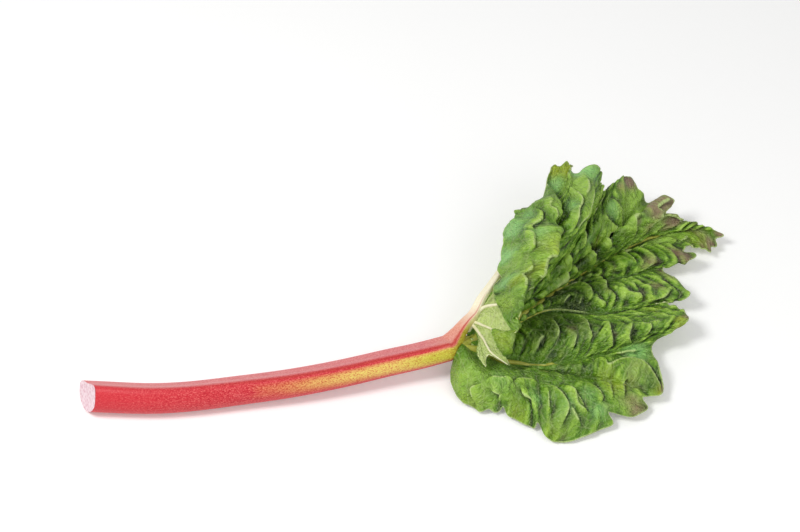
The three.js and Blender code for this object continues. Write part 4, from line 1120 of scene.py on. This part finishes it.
def leaf_skin(name, deep, middle, high, tints, thread, gloss, depth):
    """A leaf's skin, from the colours of its valleys, slopes and crests, of its tints and of its threads."""
    leaf = new_material(name)
    value = {key: add_node(leaf, "ShaderNodeAttribute", out="Fac", attribute_name=key) for key in (*LEAF_NOTES, *tints)}
    flat = add_node(leaf, "ShaderNodeCombineXYZ", {"X": value["map_x"], "Y": value["map_y"]})
    for key, size in LEAF_PATCHES:
        value[key] = add_node(leaf, "ShaderNodeTexNoise", {"Vector": flat, "Scale": 1 / size, "Detail": 4.0})
    wander = add_node(leaf, "ShaderNodeTexNoise", {
        "Vector": flat, "Scale": 1 / WANDER_SIZE, "Detail": 2.0}, out="Color")
    wander = add_node(leaf, "ShaderNodeVectorMath", {0: wander, 1: (WANDER, WANDER, 0)}, operation="MULTIPLY")
    bent = add_node(leaf, "ShaderNodeVectorMath", {0: flat, 1: wander}, operation="ADD")
    for key, size in LEAF_NETS:
        value[key] = add_node(leaf, "ShaderNodeTexVoronoi", {"Vector": bent, "Scale": 1 / size},
                              feature="DISTANCE_TO_EDGE")
    # How far up the ramp each spot goes: painted light on crests and painted shade in hollows from the heights, and the
    # leaf's own uneven tone from the patterns.
    lift = 0.0
    for key, share in TONES:
        share *= depth if key in LEAF_NOTES else 1
        lift = add_node(leaf, "ShaderNodeMath", {0: value[key], 1: share, 2: lift}, operation="MULTIPLY_ADD")
    colour = add_node(leaf, "ShaderNodeValToRGB", {"Fac": lift}, stops=[
        (DEEP_AT, deep), (MIDDLE_AT, middle), (HIGH_AT, high)])
    spread = add_node(leaf, "ShaderNodeMath", {0: value["patch"], 1: 1.2, 2: -0.6}, operation="MULTIPLY_ADD")
    for key, tinted in tints.items():
        amount = add_node(leaf, "ShaderNodeMath", {0: value[key], 1: spread, 2: value[key]}, operation="MULTIPLY_ADD")
        amount = add_node(leaf, "ShaderNodeMapRange", {
            "Value": amount, "From Min": 0.15, "From Max": 0.85, "To Max": 0.85})
        colour = add_node(leaf, "ShaderNodeMix", {FACTOR: amount, FIRST: colour, SECOND: linear(tinted)}, out=MIXED,
                          data_type="RGBA")
    # Painted shade: the deep colour laid just past each pleat's crest, on its steep side.
    shade = add_node(leaf, "ShaderNodeMapRange", {
        "Value": value["under"], "From Min": 0.1, "From Max": 0.9, "To Max": 0.55})
    # The pale threads: veins and margin in their own colour, and painted highlights along the crests.
    threads = 0.0
    for key, start, end, strength, strength_at_end in THREADS:
        ridge = add_node(leaf, "ShaderNodeMapRange", {
            "Value": value[key], "From Min": start, "From Max": end, "To Min": strength, "To Max": strength_at_end})
        threads = add_node(leaf, "ShaderNodeMath", {0: threads, 1: ridge}, operation="MAXIMUM")
    for amount, layer in ((shade, deep), (threads, thread)):
        colour = add_node(leaf, "ShaderNodeMix", {FACTOR: amount, FIRST: colour, SECOND: linear(layer)}, out=MIXED,
                          data_type="RGBA")
    rough = add_node(leaf, "ShaderNodeMapRange", {
        "Value": value["fine"], "From Min": 0.3, "From Max": 0.7, "To Min": gloss - GLOSS_CHANGE,
        "To Max": gloss + GLOSS_CHANGE})
    grain = add_node(leaf, "ShaderNodeMath", {0: value["net"], 1: 0.35}, operation="MINIMUM")
    grain = add_node(leaf, "ShaderNodeMath", {0: value["fine"], 1: 0.4, 2: grain}, operation="MULTIPLY_ADD")
    bumps = add_node(leaf, "ShaderNodeBump", {"Height": grain, "Strength": 1.0, "Distance": GRAIN * MM})
    skin = add_node(leaf, "ShaderNodeBsdfPrincipled", {
        "Base Color": colour, "Roughness": rough, "Normal": bumps, "Specular IOR Level": 0.35})
    add_node(leaf, "ShaderNodeOutputMaterial", {"Surface": skin})
    return leaf


# Waxy leaf skin: cuticle wax over palisade tissue. The eye gets a soft gloss over a deep, uneven green.
# Besides the leaf's own greens, the deep colour serves as painted shade in hollows and under pleats, the high and
# thread colours as painted light and highlights on crests, and the sunlit tint as painted light.
upper_skin = leaf_skin("Waxy leaf skin", "#182f06", "#5c8a14", "#a8d04e", {
    "bloom_and_sheen": "#94ce78", "gold": "#a4b628", "sunlit": "#9cc44c", "dark_green_and_shade": "#142808", "blush": "#8c6c60"},
    "#bcd284", 0.42, 1.0)
# Pale leaf underside: matt, downy tissue full of air, which scatters the light, with stout cream veins.
# The underside's deep colour also serves as painted shade, in its hollows and under the pleats, and its high colour as
# painted light on its crests, with half the weight on its relief.
under_skin = leaf_skin("Pale leaf underside", "#a2ba58", "#bed27a", "#dceab0", {"blush": "#a08a70"},
                       "#ebebc0", 0.6, 0.5)
for sheet in blade:
    sheet.data.materials[0] = upper_skin
    sheet.data.materials[1] = under_skin
print("leaf skins:", upper_skin.name, "and", under_skin.name)

# %% [markdown]
# ## The stalk's skin
# The stalk's skin is smooth and a little shiny over long firm strings, which show as fine lengthwise ribs. The red is
# in small spots over a paler ground, so a close look shows speckles. The flat face is pinker, with a deep red line
# under its edge, and near the leaf the red fades on the round side and yellow comes through. The cut face is wet,
# pale flesh with darker strings. At the fork the flat face fades to peach, and past it the back rib turns cream.
# The mesh keeps, for each point, how far along the stalk it lies and where in the section, and all is drawn by these.

# %% Rhubarb skin
STALK_NOTES = ("along", "cut_share", "level", "side")
# The patterns: how much they are squeezed along the stalk, their size in millimetres and their detail. The speckles
# are drawn out along the stalk, and the strings much more.
STALK_PATTERNS = (("speckle", 0.5, 0.65, 3.0), ("drift", 0.35, 14.0, 2.0), ("string", 0.02, 1.3, 2.0))
# Fades: what they follow, from where to where, and the amounts there. Along is in millimetres. Level goes from -0.5 at
# the round back to 0.5 on the flat face, and tilted is highest where the flat face turns away from the round side.
STALK_FADES = {
    "calm": ("along", 10.0, 110.0, 0.35, 1.0), "ripe": ("drifted", 155.0, 290.0, 0.0, 1.6),
    "band_low": ("level", -0.34, -0.02, 0.0, 1.0), "band_high": ("tilted", -0.06, 0.15, 1.0, 0.0),
    "lime": ("along", 240.0, 290.0, 0.0, 0.95), "face": ("tilted", 0.28, 0.38, 0.0, 1.0),
    "line_low": ("tilted", 0.17, 0.22, 0.0, 1.0), "line_high": ("tilted", 0.27, 0.34, 1.0, 0.0),
    "line_start": ("along", 60.0, 170.0, 0.0, 0.85), "line_end": ("along", 314.0, 350.0, 1.0, 0.0),
    "peach": ("along", 270.0, 308.0, 0.0, 1.0), "upper": ("tilted", 0.02, 0.24, 0.0, 1.0),
    "cream": ("along", 308.0, 332.0, 0.0, 1.0), "off_back": ("level", -0.50, -0.38, 0.6, 1.0),
    "cut": ("cut_share", 0.985, 0.999, 1.0, 0.0),
}
# How much of a layer shows: the product of these fades.
STALK_AMOUNTS = {
    "gold": ("ripe", "band_low", "band_high"), "lime": ("lime", "gold"), "peach": ("peach", "upper"),
    "cream": ("cream", "off_back"), "line": ("line_low", "line_high", "line_start", "line_end"),
}
# The layers from the lowest to the topmost: their amount, the pattern that they follow, and their colours.
STALK_LAYERS = (
    (None, "speckle", [(0.36, "#b81a2a"), (0.5, "#d2323c"), (0.66, "#e47470")]),
    ("gold", "speckle", [(0.36, "#cc5030"), (0.46, "#e8b664"), (0.58, "#f0dc72")]),
    ("lime", "speckle", [(0.36, "#b47c2a"), (0.48, "#d0c23a"), (0.62, "#dcd856")]),
    ("face", "speckle", [(0.36, "#d25f66"), (0.5, "#e07a7c"), (0.64, "#ec9a96")]),
    ("peach", "speckle", [(0.36, "#da8068"), (0.60, "#f0b49c")]),
    ("cream", "speckle", [(0.36, "#faeec4"), (0.60, "#fffae2")]),
    ("line", "speckle", [(0.40, "#b4262a"), (0.60, "#cc443c")]),
    ("cut", "pith", [(0.0, "#d098a4"), (0.25, "#dfb8c2"), (0.7, "#eed6dc")]),
)
PITH_SIZE = 2.4


def stalk_skin(name):
    """The red skin of the stalk with its pale cut face."""
    stem = new_material(name)
    value = {key: add_node(stem, "ShaderNodeAttribute", out="Fac", attribute_name=key) for key in STALK_NOTES}
    width, depth = TIP_SIZE
    for key, stretch, size, detail in STALK_PATTERNS:
        place = {axis: add_node(stem, "ShaderNodeMath", {0: value[source], 1: factor}, operation="MULTIPLY")
                 for axis, source, factor in (("X", "along", stretch), ("Y", "level", depth), ("Z", "side", width))}
        place = add_node(stem, "ShaderNodeCombineXYZ", place)
        value[key] = add_node(stem, "ShaderNodeTexNoise", {
            "Vector": place, "Scale": 1 / size, "Detail": detail, "Roughness": 0.65})
    value["pith"] = add_node(stem, "ShaderNodeTexVoronoi", {
        "Vector": add_node(stem, "ShaderNodeTexCoord", out="Object"), "Scale": 1 / (PITH_SIZE * MM)})
    for key, inputs in (("drifted", {0: value["drift"], 1: 50.0, 2: value["along"]}),
                        ("tilted", {0: value["side"], 1: -0.46, 2: value["level"]})):
        value[key] = add_node(stem, "ShaderNodeMath", inputs, operation="MULTIPLY_ADD")
    for key, (source, start, end, low, high) in STALK_FADES.items():
        value[key] = add_node(stem, "ShaderNodeMapRange", {
            "Value": value[source], "From Min": start, "From Max": end, "To Min": low, "To Max": high})
    speckle = add_node(stem, "ShaderNodeMath", {0: value["speckle"], 1: 0.5}, operation="SUBTRACT")
    value["speckle"] = add_node(stem, "ShaderNodeMath", {0: speckle, 1: value["calm"], 2: 0.5},
                                operation="MULTIPLY_ADD")
    for key, factors in STALK_AMOUNTS.items():
        product = value[factors[0]]
        for factor in factors[1:]:
            product = add_node(stem, "ShaderNodeMath", {0: product, 1: value[factor]}, operation="MULTIPLY")
        value[key] = product
    colour = None
    for amount, source, stops in STALK_LAYERS:
        layer = add_node(stem, "ShaderNodeValToRGB", {"Fac": value[source]}, stops=stops)
        colour = layer if colour is None else add_node(
            stem, "ShaderNodeMix", {FACTOR: value[amount], FIRST: colour, SECOND: layer}, out=MIXED, data_type="RGBA")
    bumps = add_node(stem, "ShaderNodeBump", {"Height": value["string"], "Strength": 0.5, "Distance": 0.6 * MM})
    skin = add_node(stem, "ShaderNodeBsdfPrincipled", {
        "Base Color": colour, "Roughness": 0.42, "Normal": bumps, "Specular IOR Level": 0.3})
    add_node(stem, "ShaderNodeOutputMaterial", {"Surface": skin})
    return stem


# Rhubarb skin: a smooth, wet-looking peel over long strings. The eye gets a soft shine with lengthwise lines.
red_skin = stalk_skin("Rhubarb skin")
for piece in (stalk, neck):
    piece.data.materials.append(red_skin)
print("stalk skin:", red_skin.name)

# %% [markdown]
# ## The ribs' skin
# On the upper side the ribs are yellow-green near the stalk. On the underside, where the folded half shows it, they
# are stouter and cream. A little mottling keeps them from looking like plastic.

# %% Rib skin
def rib_skin(name):
    """The firm, juicy flesh of the ribs: yellow-green above, cream below."""
    flesh = new_material(name)
    place = add_node(flesh, "ShaderNodeTexCoord", out="Object")
    mottle = add_node(flesh, "ShaderNodeTexNoise", {"Vector": place, "Scale": 1 / (4 * MM), "Detail": 3.0})
    above = add_node(flesh, "ShaderNodeValToRGB", {"Fac": mottle}, stops=[(0.3, "#989e2a"), (0.7, "#bebe50")])
    below = add_node(flesh, "ShaderNodeValToRGB", {"Fac": mottle}, stops=[(0.3, "#e2dfae"), (0.7, "#f1edcc")])
    cream = add_node(flesh, "ShaderNodeAttribute", out="Fac", attribute_name="cream")
    colour = add_node(flesh, "ShaderNodeMix", {FACTOR: cream, FIRST: above, SECOND: below}, out=MIXED, data_type="RGBA")
    bumps = add_node(flesh, "ShaderNodeBump", {"Height": mottle, "Strength": 0.3, "Distance": 0.5 * MM})
    skin = add_node(flesh, "ShaderNodeBsdfPrincipled", {"Base Color": colour, "Roughness": 0.4, "Normal": bumps})
    add_node(flesh, "ShaderNodeOutputMaterial", {"Surface": skin})
    return flesh


ribs.data.materials.append(rib_skin("Leaf rib"))
print("rib skin:", ribs.data.materials[0].name)

# %% [markdown]
# ## Floor, light and camera
# The stalk lies on a plain white table top under two large soft lamps. The table must look plain white and still
# keep the shadow. So its material adds a little light of its own, only for the rays that come straight from the
# camera or by way of a reflection, and no more light falls on the object. The camera looks down at 45 degrees.

# %% Floor, light and camera
SEEN_RAYS = ("Is Camera Ray", "Is Glossy Ray", "Is Transmission Ray")
TABLE_GLOW = 0.16  # light of the table's own, for those rays
SKY_SEEN, SKY_LIGHT = 1.0, 0.42  # how bright the surroundings look, and how much light they give
CAMERA_DISTANCE = 1.606
CAMERA_HEIGHT = math.radians(45)
AIM_RIGHT, AIM_BACK = -0.0107, 0.0611  # where the camera points, from the middle of the solids, in metres


def softbox(name, place, aim, size, power):
    """A square lamp that points at a place."""
    bpy.ops.object.light_add(type="AREA", location=place)
    lamp = bpy.context.object
    lamp.name = name
    lamp.data.size = size
    lamp.data.energy = power
    lamp.rotation_euler = (Vector(aim) - Vector(place)).to_track_quat("-Z", "Y").to_euler()
    return lamp


select_only()
bpy.ops.mesh.primitive_plane_add(size=12, location=(0, 0, 0))
floor = bpy.context.object
floor.name = "table"
white_top = new_material("White table top")
world = bpy.data.worlds.new("Studio")
world.use_nodes = True
world.node_tree.nodes.clear()
bpy.context.scene.world = world
seen = {}
for owner in (white_top, world):
    seen[owner] = 0.0
    for ray in SEEN_RAYS:
        seen[owner] = add_node(owner, "ShaderNodeMath", {
            0: seen[owner], 1: add_node(owner, "ShaderNodeLightPath", out=ray)}, operation="MAXIMUM")
glow = add_node(white_top, "ShaderNodeMath", {0: seen[white_top], 1: TABLE_GLOW}, operation="MULTIPLY")
paint = add_node(white_top, "ShaderNodeBsdfPrincipled", {
    "Base Color": linear("#f8f8f7"), "Roughness": 0.7, "Emission Color": linear("#ffffff"), "Emission Strength": glow})
add_node(white_top, "ShaderNodeOutputMaterial", {"Surface": paint})
floor.data.materials.append(white_top)

strength = add_node(world, "ShaderNodeMapRange", {
    "Value": seen[world], "To Min": SKY_LIGHT, "To Max": SKY_SEEN})
light = add_node(world, "ShaderNodeBackground", {"Color": linear("#ffffff"), "Strength": strength})
add_node(world, "ShaderNodeOutputWorld", {"Surface": light})

centre = (cad_low + cad_high) / 2
softbox("key_softbox", (-0.9, -0.4, 1.4), centre, 0.5, 16)
softbox("fill_softbox", (1.0, -1.2, 1.1), centre, 1.4, 9)

aim = Vector((centre.x + AIM_RIGHT, centre.y + AIM_BACK, 0))
bpy.ops.object.camera_add(
    location=aim + Vector((0, -math.cos(CAMERA_HEIGHT), math.sin(CAMERA_HEIGHT))) * CAMERA_DISTANCE,
    rotation=(math.pi / 2 - CAMERA_HEIGHT, 0, 0))
camera = bpy.context.object
camera.data.lens = 85
camera.data.sensor_width = 36
bpy.context.scene.camera = camera
bpy.context.scene.view_settings.view_transform = "Standard"
print("camera at", tuple(round(value, 3) for value in camera.location))

# %% [markdown]
# ## The pieces and their body
# Each piece rides on a body, and the solid that it is laid over is hidden. This part has no joints, so all ride on
# the one body.

# %% Pieces and their body
for piece, node, slot in ((stalk, "petiole", "stalk_skin"), (neck, "leaf_blade", "stalk_skin"),
                          (ribs, "leaf_blade", "leaf"), *((sheet, "leaf_blade", "leaf") for sheet in blade)):
    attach(piece, "root")
    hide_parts(node)
